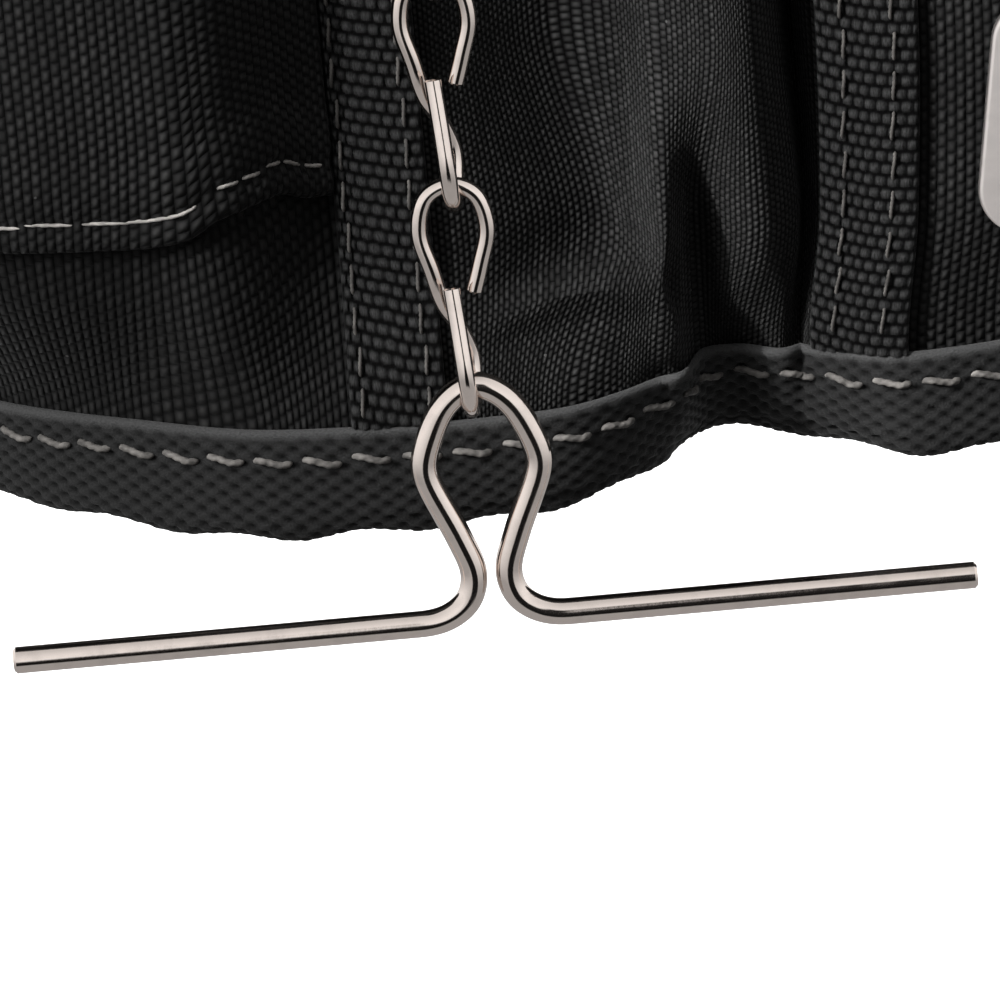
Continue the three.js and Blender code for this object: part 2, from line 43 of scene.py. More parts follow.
# Whole pouch, its back and the levels of its front
FIT_GAP = 0.3
HALF_WIDTH = 88
FOOT_Z = -210
FRONT_Y = -92
CLOTH = 1.6
BACK_REAR_Y = -4.3
BACK_THICK = 2.5
BACK_TOP_Z = 50
BACK_CORNER = 25
BACK_QUILT = 0.12
BACK_STEP = 2.0
BACK_SEAMS = (4, 10)
THIN_EDGE = 0.05
CUFF_H = 12.5
BELLY_H = 30
LIFT_H = 40
PLEAT_TURN = 3
CHEST_H = 52
MOUTH_H = 170
LEVELS = (0, CUFF_H, BELLY_H, CHEST_H, MOUTH_H)

# Fold lines of the front, from the left seam to the right seam
FOLD_COLUMNS = (
    "name", "x_foot", "back_foot", "lift", "tuck",
    "x_belly", "back_belly", "x_chest", "back_chest", "x_mouth", "back_mouth",
)
FOLD_ROWS = (
    ("left seam", -88, 84.9, 0, 0, -88, 84.9, -88, 84.9, -88, 84.9),
    ("left side", -88, 58, 0, 0, -88.3, 56.6, -88.5, 56, -88, 58),
    ("left flank", -81, 34, 0.5, 1, -84.5, 25, -86, 22, -84, 28),
    ("left outer", -67, 18, 1, 2, -69.5, 4.5, -70.5, 0.5, -66, 8),
    ("left belly", -52, 6.5, 0.5, 0, -51, -0.5, -49.5, -3.8, -48, 1.5),
    ("left inner", -40, 1, 0, 0, -41.5, -2, -42.5, -3.2, -41, 1),
    ("left strap edge", -29.5, 0, 0, 1, -29.5, 5.3, -29.5, 8, -29.5, 3),
    ("left strap middle", -24.4, 0, 0, 1.5, -24.4, 4.4, -24.4, 7, -24.4, 2),
    ("left strap inner edge", -19.3, 0.2, 0, 2, -19.3, 3.7, -19.3, 6, -19.3, 2.2),
    ("center valley", -6.5, 1.4, 0.8, 3.5, -1, 10, -5, 13, -5, 9),
    ("ridge foot", -0.8, 4.7, 1.4, 4.6, 2, 7, 2, 10.4, 3, 7),
    ("center ridge", 3.4, 8.6, 2, 6, 5.4, 0.8, 6, 6.6, 7, 4.5),
    ("ridge side", 5.7, 13.2, 2.4, 10.4, 6.8, 3.6, 9, 4, 10, 3),
    ("pleat", 8.8, 16.4, 2.35, 6, 8.9, 7.4, 12, 1.8, 13, 2.5),
    ("second ridge", 13, 17.3, 2.1, 6, 15.6, 2.8, 15.6, 0.8, 16.4, 4),
    ("gap side", 17.3, 16.1, 1.8, 7, 19.6, 6.4, 19, 8, 19.8, 20),
    ("gap", 19.4, 14.9, 1.6, 4.5, 21.2, 13, 21.4, 22, 22, 30),
    ("right strap edge", 20.5, 14.2, 1.5, 4.5, 22.6, 8.4, 23.4, 8, 24, 10),
    ("right strap middle", 25.5, 11, 1, 3.2, 27.5, 6.2, 28.7, 5.6, 29.5, 8),
    ("right strap outer edge", 30.8, 8, 0.6, 1.4, 32.8, 4.8, 34, 4.4, 35, 6.5),
    ("right belly", 45, 9.5, 0.5, 0.5, 46.4, 5.4, 47, 4, 47, 6),
    ("right outer", 67, 18, 1, 2, 69, 9.2, 70, 7, 66, 9),
    ("right flank", 81, 34, 0.5, 1, 84.5, 26.4, 86, 24, 84, 28),
    ("right side", 88, 58, 0, 0, 88.3, 56.6, 88.5, 56, 88, 58),
    ("right seam", 88, 84.9, 0, 0, 88, 84.9, 88, 84.9, 88, 84.9),
)
FOLD = {row[0]: number for number, row in enumerate(FOLD_ROWS)}
COLUMN = {key: np.array([row[k] for row in FOLD_ROWS], float) for k, key in enumerate(FOLD_COLUMNS) if k}
LAST_FOLD = len(FOLD_ROWS) - 1
SEAM_HALF_GAP = 0.04

# Straps, patch, hems
WEBBING = 1.6
STRAP_FOOT_H = CUFF_H + 0.5
PATCH_EDGE_H = 36.6
PATCH_SEWN_H = 46
PATCH_TOP_H = 115
PATCH_MOUTH_LIFT = 11
PATCH_STITCH_H = 40.2
PATCH_SIDE_GAP = 0.05
PATCH_STEP = 0.8
PATCH_PUFF = 0.35
PATCH_PUFF_TOP = (44, 47)
PATCH_GAUGE_H = 60
PATCH_SEAM = 0.5
PATCH_PUCKER = 0.12
ROLL_SHELF = 5
ROLL_BACK = 0.8
ROLL_HOLLOW = 1.2
ROLL_CREASE = 0.9
RIPPLE = 0.3
PLEAT_CALM = 0.8
HEM_WIDTH = 11
HEM_RISE = 0.5
HEM_TURN = 1.2
HEM_SEAM_DOWN = HEM_WIDTH - 2
HEM_STOP = 0.1
HEM_END = 0.35

# Lower hem of the patch: a fold number and how far it is pulled up there
PATCH_RISE = np.array((
    (2, -0.8), (3.2, -0.8), (4.05, -1), (4.65, -0.4), (5.03, 1.5), (5.45, 2.1), (5.7, 0.6), (6, 0),
))

# Shelf of the center's cloth: a fold number and its height there
ROLL = np.array(((8.4, 23.8), (8.8, 25), (9.3, 24.8), (10.4, 24.4), (11, 23.5), (12, 20)))

# Straps: first fold, last fold and where the two rows of stitches run, as shares of the width
STRAPS = {
    "strap_left": ("left strap edge", "left strap inner edge", (0.13, 0.84)),
    "strap_right": ("right strap edge", "right strap outer edge", (0.27, 0.78)),
}

# Main compartment and floor
MAIN_THICK = 1.8
MAIN_SIDE_GAP = 0.8
MAIN_FRONT_Y = -58
MAIN_CORNER = 24
MAIN_FRONT_TOP_H = 205
MAIN_BACK_TOP_H = 225
MAIN_HEM = 0.45
MAIN_WAVE = 0.35
MAIN_STEP = 2.4
LIP_THICK = 1.5
LIP_FOOT_H = 1.8
LIP_TOP_H = 12.9
FLOOR_H = 13.5
FLOOR_THICK = 1.8
FLOOR_SHARE = 0.6
FLOOR_STEP = 1.6
FLOOR_BACK_STEP = 2.5

# Binding tape
BINDING_THICK = 1.2
BINDING_INNER_H = 8
BINDING_INNER_GAP = 1.2
TAPE_TURN_H = 2.5
TAPE_RIM = 0.62
# Painted highlight: relief value given to the tape's top rim rows, above the lumps' 1, so that the rim is
# coloured paler as if catching light.
RIM_PAINTED_HIGHLIGHT = 2.2
RIM_ROWS = 6
TAPE_TURN_DEPTH = 3.6
TAPE_SAG = 0.1
TAPE_FLOOR_H = 1.3
TAPE_SEAM_DOWN = 2.9
TAPE_WAVE = 0.45
TAPE_WAVE_X = -36.4
TAPE_WAVE_LENGTH = 13.7
SEWN_IN_H = TAPE_FLOOR_H + FIT_GAP
BACK_COVER = BACK_THICK - CLOTH

# Belt tunnel
TUNNEL_HALF_LENGTH = 60
TUNNEL_THICK = 1.8
TUNNEL_SLOT_DEPTH = 8
TUNNEL_SLOT_HALF_HEIGHT = 36
TUNNEL_SLOPE = 4
TUNNEL_FLANGE = 6
TUNNEL_SEAMS = (1.6, 4.2)
TUNNEL_EDGE = 0.06

# Chain and T-bar
CHAIN_X = -17
CHAIN_Y = -99.5
LINK_COUNT = 6
LINK_WIRE = 1.8
LINK_TOP = 12.1
LINK_BOTTOM = -12.75
LINK_HALF = 3.55
LINK_STEP = 0.3
LINK_EASE = 5
LINK_SIDES = 20
LINK_CHAMFER = 0.18
BAR_WIRE = 2.9
BAR_X = -16.2
BAR_APEX_H = 18
BAR_STEP = 0.35
BAR_EASE = 9
BAR_SIDES = 28
BAR_CHAMFER = 0.3
RIVET_SHANK = 1.8
RIVET_FLANGE = 4.5
RIVET_HEAD = 4.2
BAR_HALF = (
    (0, -0.6), (3.2, 1.2), (5.5, 5.5), (6.15, 8.0), (5.9, 9.6), (3.1, 16.4), (1.85, 20.6), (2.6, 23.5),
    (4.6, 25.2), (7.2, 25.9), (20, 25.9), (51.8, 25.9),
)
LINK_POINTS = (
    (1.6, 0, 0.2), (2.6, 0, 3.4), (LINK_HALF, 0, 7.2), (2.55, 0, 10.9), (0, 0, LINK_TOP),
    (-2.55, 0, 10.9), (-LINK_HALF, 0, 7.2), (-2.6, 0, 3), (-1.7, 0.7, -1), (-0.2, 2.4, -4.4),
    (0.8, LINK_HALF, -8), (0.7, 2.5, -11.4), (0.4, 0, LINK_BOTTOM), (0.2, -2.5, -11.4),
    (0, -LINK_HALF, -8), (-0.35, -2.5, -3), (-0.7, -1.6, 1.35),
)

# Tape clip
CLIP_X = 58.5
CLIP_H = 39.5
CLIP_TILT = math.radians(8)
CLIP_WIDTH = 38
CLIP_HEIGHT = 26
CLIP_CORNER = 5
CLIP_EDGE = 0.5
CLIP_FLAT = 2.5
CLIP_THICK = 1.5
CLIP_FRONT_Y = -96
CLIP_POST = 2.5
CLIP_POST_INSET = 8

# Weave, relief and thread
GRID_STEP = 1.0
WEB_CELL = 1.28
WEB_ROW = 1.42
WEB_RELIEF = 0.45
WEB_STEP = 0.21
WEB_ROW_STEP = WEB_STEP * 1.25
WEB_SELVEDGE = 0.6
TAPE_CELL = 2.7
TAPE_ROW = 1.8
TAPE_RELIEF = 0.55
TAPE_LEVEL = 0.8
TAPE_STEP = 0.4
TAPE_ROW_STEP = 0.34
TAPE_BACK_STEP = 0.8
THREAD = 0.2
HEM_THREAD = 0.21
HEM_SUNK = 0.06
HEM_TIGHT_FOLD = 4.95
COARSE_THREAD = 0.38
THREAD_LAY = 2.6
LINT_SCALE = 260.0
LINT_SIZE = 0.045
LINT_CLUMP = 0.58
LINT_GREY = 0.16
STITCH_LIFT = 0.02
PLAIN_STEPS = 8
NEAR_STEPS = 22

# Stitches: pitch, length and slant
PLAIN_STITCH = (4.2, 3.3, 0)
TUNNEL_STITCH = (3.8, 3.0, 0)
STRAP_STITCH = (4.45, 3.2, 0.12)
BINDING_STITCH = (5.4, 4.2, 0.4)
LOOSE_STITCH = (6.1, 8.0, 0.1)
TIGHT_STITCH = (3.0, 2.7, 0.1)

# Camera, from the photograph: 9.4 pixels a millimetre at the chain, 1000 pixels across
PIXELS_PER_MM = 9.4
IMAGE_PIXELS = 1000
CAMERA_AIM = (-14.6, CHAIN_Y, -204.6)
CAMERA_ELEVATION = 20
CAMERA_ROLL = 5.1
CAMERA_DISTANCE = 640
SENSOR = 36
FLOOR_DROP = 90
FLOOR_HALF = 6.0

# Room that gloss sees: its brightness low down and overhead and a dark gap in it, over degrees of rise
ROOM_LOW = (0.42, 1.12)
ROOM_LOW_RISE = (-26, 4)
ROOM_TOP = (1.0, 0.65)
ROOM_TOP_RISE = (15, 80)
GAP_TURN = 8
GAP_HALF = (25, 8)
GAP_HALF_RISE = (-24, 8)
GAP_EDGE = (-3, 3)
GAP_FLOOR_RISE = (-36, -30)
GAP_TOP_RISE = (22, 32)
GAP_DARK = 0.02
AMBIENT = 0.05

# Soft lamps: degrees to the right of the front, degrees of rise, width and height in metres, brightness
LAMP_DISTANCE = 1.2
SOFTBOXES = {
    "left_box": (-60, 33, 0.8, 0.8, 10.2),
    "right_box": (60, 25, 0.7, 0.8, 0.35),
    "top_box": (0, 70, 0.9, 0.7, 1.0),
    "back_box": (150, 30, 0.8, 0.8, 5.0),
}

# Lamp whose round beam lights the right of the front
POOL_TURN = -52
POOL_RISE = 30
POOL_AIM = (60, -88, -188)
POOL_RADIUS = 44
POOL_EXPOSURE = 5.5
POOL_BLEND = 0.9
POOL_SOFTNESS = 0.065


# Curves

def monotone(knots, values, at):
    """Smooth curve through a few levels that never overshoots them, for all folds at once."""
    knots = np.asarray(knots, float)
    values = np.asarray(values, float)
    widths = np.diff(knots)
    slopes = np.diff(values, axis=0) / widths[:, None]
    before = np.vstack([slopes[:1], slopes])
    after = np.vstack([slopes, slopes[-1:]])
    same_way = before * after > 0
    total = np.where(same_way, before + after, 1)
    tangents = np.where(same_way, 2 * before * after / total, 0)
    place = np.clip(at, knots[0], knots[-1])
    span = np.clip(np.searchsorted(knots, place, side="right") - 1, 0, len(widths) - 1)
    width = widths[span][:, None]
    t = (place[:, None] - knots[span][:, None]) / width
    blend = t * t * (3 - 2 * t)
    ease = t * (1 - t) * width * (tangents[span] * (1 - t) - tangents[span + 1] * t)
    return values[span] * (1 - blend) + values[span + 1] * blend + ease


def curve_through(points, at):
    """Centripetal curve through points, read at numbers that are 0 at the first point."""
    points = np.asarray(points, float)
    first = 2 * points[..., :1, :] - points[..., 1:2, :]
    last = 2 * points[..., -1:, :] - points[..., -2:-1, :]
    longer = np.concatenate([first, points, last], axis=-2)
    span = np.clip(np.floor(at).astype(int), 0, points.shape[-2] - 2)
    t = (at - span)[:, None]
    p0, p1, p2, p3 = (longer[..., span + k, :] for k in range(4))

    def knot(a, b):
        return np.maximum(np.sum((b - a) ** 2, axis=-1, keepdims=True) ** 0.25, 1e-4)

    d0, d1, d2 = knot(p0, p1), knot(p1, p2), knot(p2, p3)
    m1 = ((p1 - p0) / d0 - (p2 - p0) / (d0 + d1) + (p2 - p1) / d1) * d1
    m2 = ((p2 - p1) / d1 - (p3 - p1) / (d1 + d2) + (p3 - p2) / d2) * d1
    square = -3 * p1 + 3 * p2 - 2 * m1 - m2
    cube = 2 * p1 - 2 * p2 + m1 + m2
    return p1 + m1 * t + square * t ** 2 + cube * t ** 3


def arc_lengths(points):
    steps = np.linalg.norm(np.diff(points, axis=0), axis=1)
    return np.concatenate([[0], np.cumsum(steps)])


def read_along(values, along, at):
    """Rows of values at places along a path."""
    return np.stack([np.interp(at, along, column) for column in values.T], axis=1)


def resample(points, step):
    """Points at even steps along a path."""
    along = arc_lengths(points)
    count = max(2, int(round(along[-1] / step)) + 1)
    return read_along(points, along, np.linspace(0, along[-1], count))


def unit(vectors):
    return vectors / np.maximum(np.linalg.norm(vectors, axis=-1, keepdims=True), 1e-9)


def spots(x, y, z):
    """Points from coordinates, any of which may be one number for all."""
    return np.stack(np.broadcast_arrays(x, y, z), axis=-1)


def turns(count):
    return np.linspace(0, 2 * np.pi, count, endpoint=False)


def ease(low, high, at):
    """Share that rises smoothly from 0 at low to 1 at high."""
    t = np.clip((at - low) / (high - low), 0, 1)
    return t * t * (3 - 2 * t)


# The front's outer face

def front_points(folds, heights):
    """One row for each height, one column for each fold number."""
    heights = np.asarray(heights, float)
    c = COLUMN
    x = monotone(LEVELS, [c["x_foot"], c["x_foot"], c["x_belly"], c["x_chest"], c["x_mouth"]], heights)
    cuff = c["back_foot"] - c["tuck"]
    backs = [c["back_foot"], cuff, c["back_belly"], c["back_chest"], c["back_mouth"]]
    back = monotone(LEVELS, backs, heights)
    lift = np.maximum(0, 1 - heights / LIFT_H)[:, None] * c["lift"]
    z = FOOT_Z + heights[:, None] + lift
    return curve_through(np.stack([x, FRONT_Y + back, z], axis=-1), np.asarray(folds, float))


def front_normals(folds, heights):
    folds = np.asarray(folds, float)
    heights = np.asarray(heights, float)
    step = 0.02
    rise = 0.25
    along = front_points(np.minimum(folds + step, LAST_FOLD), heights)
    along = along - front_points(np.maximum(folds - step, 0), heights)
    up = front_points(folds, np.minimum(heights + rise, MOUTH_H))
    up = up - front_points(folds, np.maximum(heights - rise, 0))
    normals = unit(np.cross(along, up))
    turned = np.minimum(folds - FOLD["left strap middle"], FOLD["right strap middle"] - folds)
    normals[..., 1] -= PLEAT_TURN * np.clip(turned, 0, 1)
    return unit(normals)


def even_folds(first, last, step, height=CHEST_H):
    """Fold numbers from first to last at even steps of length along the front."""
    fine = np.linspace(first, last, 600)
    along = arc_lengths(front_points(fine, [height])[0])
    count = int(round(along[-1] / step)) + 1
    return np.interp(np.linspace(0, along[-1], count), along, fine)


def front_path(folds, heights):
    """Points and normals at pairs of a fold number and a height."""
    points = np.einsum("iik->ik", front_points(folds, heights))
    return points, np.einsum("iik->ik", front_normals(folds, heights))


# Meshes

def edge_round(distance, radius):
    """Share of full thickness at a distance from a rounded edge."""
    inside = np.clip(1 - np.asarray(distance, float) / radius, 0, 1)
    return np.sqrt(np.maximum(0, 1 - inside ** 2))


def rows_with_edges(low, high, step, radius, round_low=True, round_high=True):
    """Numbers from low to high at even steps, with closer ones where an edge is rounded."""
    turn = radius * (1 - np.cos(np.linspace(0, np.pi / 2, 5)))
    rows = np.linspace(low, high, max(2, int(round((high - low) / step)) + 1))
    extra = [low + turn] * round_low + [high - turn] * round_high
    kept = [row for row in rows if low + radius * round_low <= row <= high - radius * round_high]
    return np.unique(np.concatenate([kept, *extra]).round(5))


def loft(sections, uv, ends="cap"):
    """Points, faces and corner UVs of a skin through closed rings. ends is cap, fan or join."""
    count, size = sections.shape[:2]
    section = np.arange(count if ends == "join" else count - 1)[:, None]
    ring = np.arange(size)[None, :]
    after = (section + 1) % count
    corners = [(section, ring), (section, ring + 1), (section + 1, ring + 1), (section + 1, ring)]
    quads = np.stack([
        section * size + ring,
        section * size + (ring + 1) % size,
        after * size + (ring + 1) % size,
        after * size + ring,
    ], axis=-1).reshape(-1, 4)
    places = list(np.stack([uv[a, b] for a, b in corners], axis=-2).reshape(-1, 4, 2))
    faces = quads.tolist()
    ladder = [[k, k + 1, size - 2 - k, size - 1 - k] for k in range(size // 2 - 1)]
    caps = {"cap": ladder, "fan": [list(range(size))], "join": []}[ends]
    for row in (0, count - 1):
        for cap in caps:
            turned = cap[::-1] if row == 0 else cap
            faces.append([row * size + m for m in turned])
            places.append(uv[row, turned])
    return sections.reshape(-1, 3), faces, np.concatenate(places)


def merged(parts):
    """Points and faces of several meshes as one."""
    points = []
    faces = []
    count = 0
    for more, more_faces in parts:
        points.append(more)
        faces += [[count + m for m in face] for face in more_faces]
        count += len(more)
    return np.concatenate(points), faces


def signed_volume(points, faces):
    quads = np.array([face for face in faces if len(face) == 4])
    a, b, c, d = (points[quads[:, k]] for k in range(4))
    return np.sum(a * np.cross(b, c)) + np.sum(a * np.cross(c, d))


def make_mesh(name, points, faces, uv=None, relief=None, sharp=45):
    """Smooth mesh in metres with its faces turned out."""
    if signed_volume(points, faces) < 0:
        ends = np.cumsum([len(face) for face in faces])
        if uv is not None:
            uv = np.concatenate([part[::-1] for part in np.split(uv, ends[:-1])])
        faces = [face[::-1] for face in faces]
    mesh = bpy.data.meshes.new(name)
    mesh.from_pydata((points * MM).tolist(), [], faces)
    if uv is not None:
        layer = mesh.uv_layers.new(name="weave")
        layer.uv.foreach_set("vector", np.asarray(uv, np.float32).ravel())
    # The relief attribute carries the painted shade and highlight of the webbing's and tape's colour.
    if relief is not None:
        layer = mesh.attributes.new("relief", "FLOAT", "POINT")
        layer.data.foreach_set("value", np.asarray(relief, np.float32))
    mesh.shade_smooth()
    mesh.set_sharp_from_angle(angle=math.radians(sharp))
    return mesh


def add_object(name, data):
    made = bpy.data.objects.new(name, data)
    bpy.context.scene.collection.objects.link(made)
    return made


def add_piece(name, mesh, material, stands_for=(), body="pouch"):
    piece = add_object(name, mesh)
    mesh.materials.append(material)
    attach(piece, body)
    if stands_for:
        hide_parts(*stands_for)
    return piece


def add_loft(name, sections, uv, material, node, body="pouch", ends="cap", relief=None, sharp=45):
    points, faces, corners = loft(sections, uv, ends)
    mesh = make_mesh(name, points, faces, corners, relief, sharp)
    return add_piece(name, mesh, material, [node], body)


def add_wire(name, sections, node, body):
    """Nickel wire that leaves no lines of shadow on the cloth, as under wide soft lamps."""
    piece = add_loft(name, sections, ring_uv(sections), NICKEL, node, body, "fan", sharp=35)
    piece.visible_shadow = False


def closed(rings):
    """Rings with their first point once more at the end."""
    return np.concatenate([rings, rings[:, :1]], axis=1)


def there_and_back(face, rear):
    """Rings that run along a wall's face and back along its rear."""
    return np.concatenate([face, rear[:, ::-1]], axis=1)


def ring_uv(sections, across=None):
    """UVs in millimetres: along the sections and round each ring."""
    middle = sections[len(sections) // 2]
    round_ring = arc_lengths(np.vstack([middle, middle[:1]]))
    along = arc_lengths(sections[:, sections.shape[1] // 4]) if across is None else across
    u, v = np.meshgrid(along, round_ring, indexing="ij")
    return np.stack([u, v], axis=-1)


# Cloth pieces on the front

def front_sections(folds, heights, inner, outer):
    """Rings round a cloth wall on the front: up its face and down its rear."""
    points = front_points(folds, heights)
    normals = front_normals(folds, heights)
    face = points + normals * outer[..., None]
    rear = points + normals * inner[..., None]
    return there_and_back(face.transpose(1, 0, 2), rear.transpose(1, 0, 2))


def ripple(folds, heights):
    """Small soft waves of the worn cloth, still at the straps, at the cuff and at the mouth."""
    f, h = np.meshgrid(folds, heights)
    calm = ease(CUFF_H + 2, CUFF_H + 14, h) * (1 - ease(MOUTH_H - 30, MOUTH_H - 8, h))
    for name in ("left strap middle", "right strap middle"):
        calm = calm * ease(1.05, 1.5, np.abs(f - FOLD[name]))
    waves = np.sin(f * 2.3 + h * 0.11) * np.sin(h * 0.19 - f * 0.7) + 0.6 * np.sin(f * 4.1 - h * 0.07 + 1)
    pleated = ease(FOLD["center valley"] - 1, FOLD["center valley"], f)
    pleated = pleated * (1 - ease(FOLD["gap"], FOLD["right strap edge"], f))
    return RIPPLE * calm * waves * (1 - PLEAT_CALM * pleated)


def roll(folds, heights):
    """The center's cloth sagging over the binding: a shelf, with a crease below it."""
    f, h = np.meshgrid(folds, heights)
    at = ROLL[:, 0]
    below = np.interp(f, at, ROLL[:, 1]) - h
    left = ease(at[0] - 0.2, at[0] + 0.2, f) * ease(CUFF_H + 0.5, CUFF_H + 4, h)
    right = 1 - ease(at[-1] - 0.3, at[-1] + 0.3, f)
    back = front_points(folds, heights)[..., 1] - FRONT_Y
    shelf = np.clip(back - ROLL_BACK, 0, ROLL_SHELF) * ease(-1.4, 1.4, below)
    hollow = ROLL_HOLLOW * ease(-9, -1.5, below) * (1 - ease(-1.5, 0.8, below))
    crease = ROLL_CREASE * np.exp(-((below - 3.8) / 1.3) ** 2) * (1 - ease(at[-3], at[-2], f))
    return left * right * (shelf - hollow - crease)


def pocket_panel(name, cloth, first, last):
    folds = even_folds(first, last, GRID_STEP)
    heights = rows_with_edges(SEWN_IN_H, MOUTH_H, GRID_STEP, CLOTH / 2, round_low=False)
    f, h = np.meshgrid(folds, heights)
    shape = edge_round(MOUTH_H - h, CLOTH / 2)
    hem = HEM_RISE * ease(MOUTH_H - HEM_WIDTH - HEM_TURN, MOUTH_H - HEM_WIDTH, h)
    middle = -CLOTH / 2 + ripple(folds, heights)
    if name == "pocket_center":
        middle = middle + roll(folds, heights)
    half = CLOTH / 2 * shape
    rear = middle - half
    patch = (f > FOLD["left flank"]) & (f < FOLD["left strap edge"]) & (h > PATCH_EDGE_H) & (h < PATCH_TOP_H)
    face = np.where(patch, np.minimum(middle + half, 0), middle + half + hem * shape)
    sections = front_sections(folds, heights, rear, face)
    across = arc_lengths(front_points(folds, [BELLY_H])[0])
    piece = add_loft(f"cloth_{name}", sections, ring_uv(sections, across), cloth, name, sharp=70)


def patch_rise(f):
    """How far the patch's lower hem is pulled up at a fold number."""
    at = np.interp(f, PATCH_RISE[:, 0], np.arange(len(PATCH_RISE)))
    return curve_through(spots(PATCH_RISE[:, 1], 0, 0), at)[:, 0]


def patch_lift(f, h):
    first = FOLD["left flank"]
    last = FOLD["left strap edge"] - PATCH_SIDE_GAP
    across = np.sin(np.pi * np.clip((f - first) / (last - first), 0, 1))
    up = np.maximum(0, (h - PATCH_SEWN_H) / (PATCH_TOP_H - PATCH_SEWN_H))
    return FIT_GAP + PATCH_MOUTH_LIFT * across * up * up


def patch_pocket():
    folds = even_folds(FOLD["left flank"], FOLD["left strap edge"] - PATCH_SIDE_GAP, PATCH_STEP)
    heights = rows_with_edges(PATCH_EDGE_H, PATCH_TOP_H, PATCH_STEP, CLOTH / 2)
    f, h = np.meshgrid(folds, heights)
    rear = patch_lift(f, h)
    pulled = patch_rise(folds)[None, :] * (1 - ease(PATCH_STITCH_H + 4, PATCH_STITCH_H + 24, h))
    half = CLOTH / 2 * edge_round(h - PATCH_EDGE_H, CLOTH / 2) * edge_round(PATCH_TOP_H - h, CLOTH / 2)
    seam = np.exp(-((h - PATCH_STITCH_H) / 0.7) ** 2)
    puff = PATCH_PUFF * ease(PATCH_EDGE_H, PATCH_EDGE_H + HEM_TURN, h) * (1 - ease(*PATCH_PUFF_TOP, h))
    pucker = PATCH_PUCKER * np.sin(f * 26) * np.exp(-((h - PATCH_STITCH_H) / 2.5) ** 2)
    top_hem = HEM_RISE * ease(PATCH_TOP_H - HEM_WIDTH, PATCH_TOP_H - HEM_WIDTH + HEM_TURN, h)
    face = rear + CLOTH / 2 + half + puff - PATCH_SEAM * seam + pucker
    face = face + top_hem * edge_round(PATCH_TOP_H - h, 1)
    sections = front_sections(folds, heights, rear + CLOTH / 2 - half, face)
    sections[..., 2] += np.concatenate([pulled, pulled[::-1]], axis=0).T
    across = arc_lengths(front_points(folds, [PATCH_GAUGE_H])[0])
    uv = ring_uv(sections, across)
    piece = add_loft("cloth_patch_pocket", sections, uv, NYLON, "patch_pocket", sharp=70)


def web_relief(across, up):
    """Brick-like floats of the webbing, from 0 in the grooves to 1 on the floats."""
    slanted = up + 0.3 * across - 0.013 * across ** 2
    row = np.floor(slanted / WEB_ROW)
    cell = across / WEB_CELL + 0.5 * (row % 2)
    a = 2 * np.abs(cell - np.floor(cell) - 0.5)
    b = 2 * np.abs(slanted / WEB_ROW - row - 0.5)
    return (1 - a ** 3) ** 0.8 * (1 - b ** 2.2)


def strap(name):
    first, last, _ = STRAPS[name]
    folds = even_folds(FOLD[first], FOLD[last], WEB_STEP)
    heights = np.arange(STRAP_FOOT_H, MOUTH_H + WEB_STEP / 2, WEB_ROW_STEP)
    points = front_points(folds, heights)
    normals = front_normals(folds, heights)
    across = arc_lengths(front_points(folds, [BELLY_H])[0])
    u, v = np.meshgrid(across, heights)
    relief = web_relief(u, v)
    selvedge = edge_round(np.minimum(u, across[-1] - u), WEB_SELVEDGE)
    face = FIT_GAP + WEBBING * (0.5 + 0.5 * selvedge) - WEB_RELIEF * (1 - relief) * selvedge
    rear_columns = np.linspace(len(folds) - 1, 0, 12).astype(int)
    outer = points + normals * face[..., None]
    inner = (points + normals * FIT_GAP)[:, rear_columns]
    sections = np.concatenate([outer, inner], axis=1)
    # Painted shade: the webbing is coloured darker in the grooves between its floats and paler on the floats;
    # its rear gets a middle value.
    shade = np.concatenate([relief, np.full(inner.shape[:2], 0.5)], axis=1).ravel()
    flat_u = np.concatenate([across, across[rear_columns], across[:1]])
    uv = np.stack(np.meshgrid(flat_u, heights), axis=-1)
    piece = add_loft(f"webbing_{name}", sections, uv, WEB, name, "pouch", "fan", shade, 80)


# Binding round the foot

def foot_loop(front_step, back_step):
    """Columns round the foot: base points by height, outward ways, inward ways and cover of the back."""
    end = 1 / 3
    folds = even_folds(end, LAST_FOLD - end, front_step, CUFF_H)
    seam_y = BACK_REAR_Y - BACK_COVER
    heights = np.array([0, CUFF_H / 2, CUFF_H])
    front = front_points(folds, heights)
    normals = front_normals(folds, heights)
    y_last = front[0, -1, 1]
    side_y = np.linspace(y_last, seam_y, max(3, int((seam_y - y_last) / back_step)))[1:]
    corner = np.radians(np.linspace(0, 90, 7))[1:]
    back_x = np.linspace(HALF_WIDTH, -HALF_WIDTH, int(2 * HALF_WIDTH / back_step))[1:]
    right = [(HALF_WIDTH, y, 1, 0, 1, 0) for y in side_y]
    right += [(HALF_WIDTH, seam_y, math.cos(turn), math.sin(turn), 1, 1) for turn in corner]
    back = [(x, seam_y, 0, 1, 0, 1) for x in back_x[:-1]]
    left = np.array(right[::-1]) * [-1, 1, -1, 1, -1, 1]
    columns = np.vstack([right, back, left]).T
    level = FOOT_Z + heights[:, None]
    flat = spots(columns[0], columns[1], level)
    ways = spots(columns[2], columns[3], 0 * level)
    inward = spots(columns[4], columns[5], 0 * level)
    share = ease(y_last, seam_y, columns[1])
    base = np.concatenate([front, flat], axis=1)
    out = np.concatenate([normals, ways], axis=1)
    inner = np.concatenate([normals, inward], axis=1)
    cover = np.concatenate([np.zeros(len(folds)), BACK_COVER * share])
    return heights, base, out, inner, cover


def at_height(heights, grid, height):
    """A grid's columns at one height between its rows."""
    k = int(np.clip(np.searchsorted(heights, height) - 1, 0, len(heights) - 2))
    t = (height - heights[k]) / (heights[k + 1] - heights[k])
    return grid[k] * (1 - t) + grid[k + 1] * t


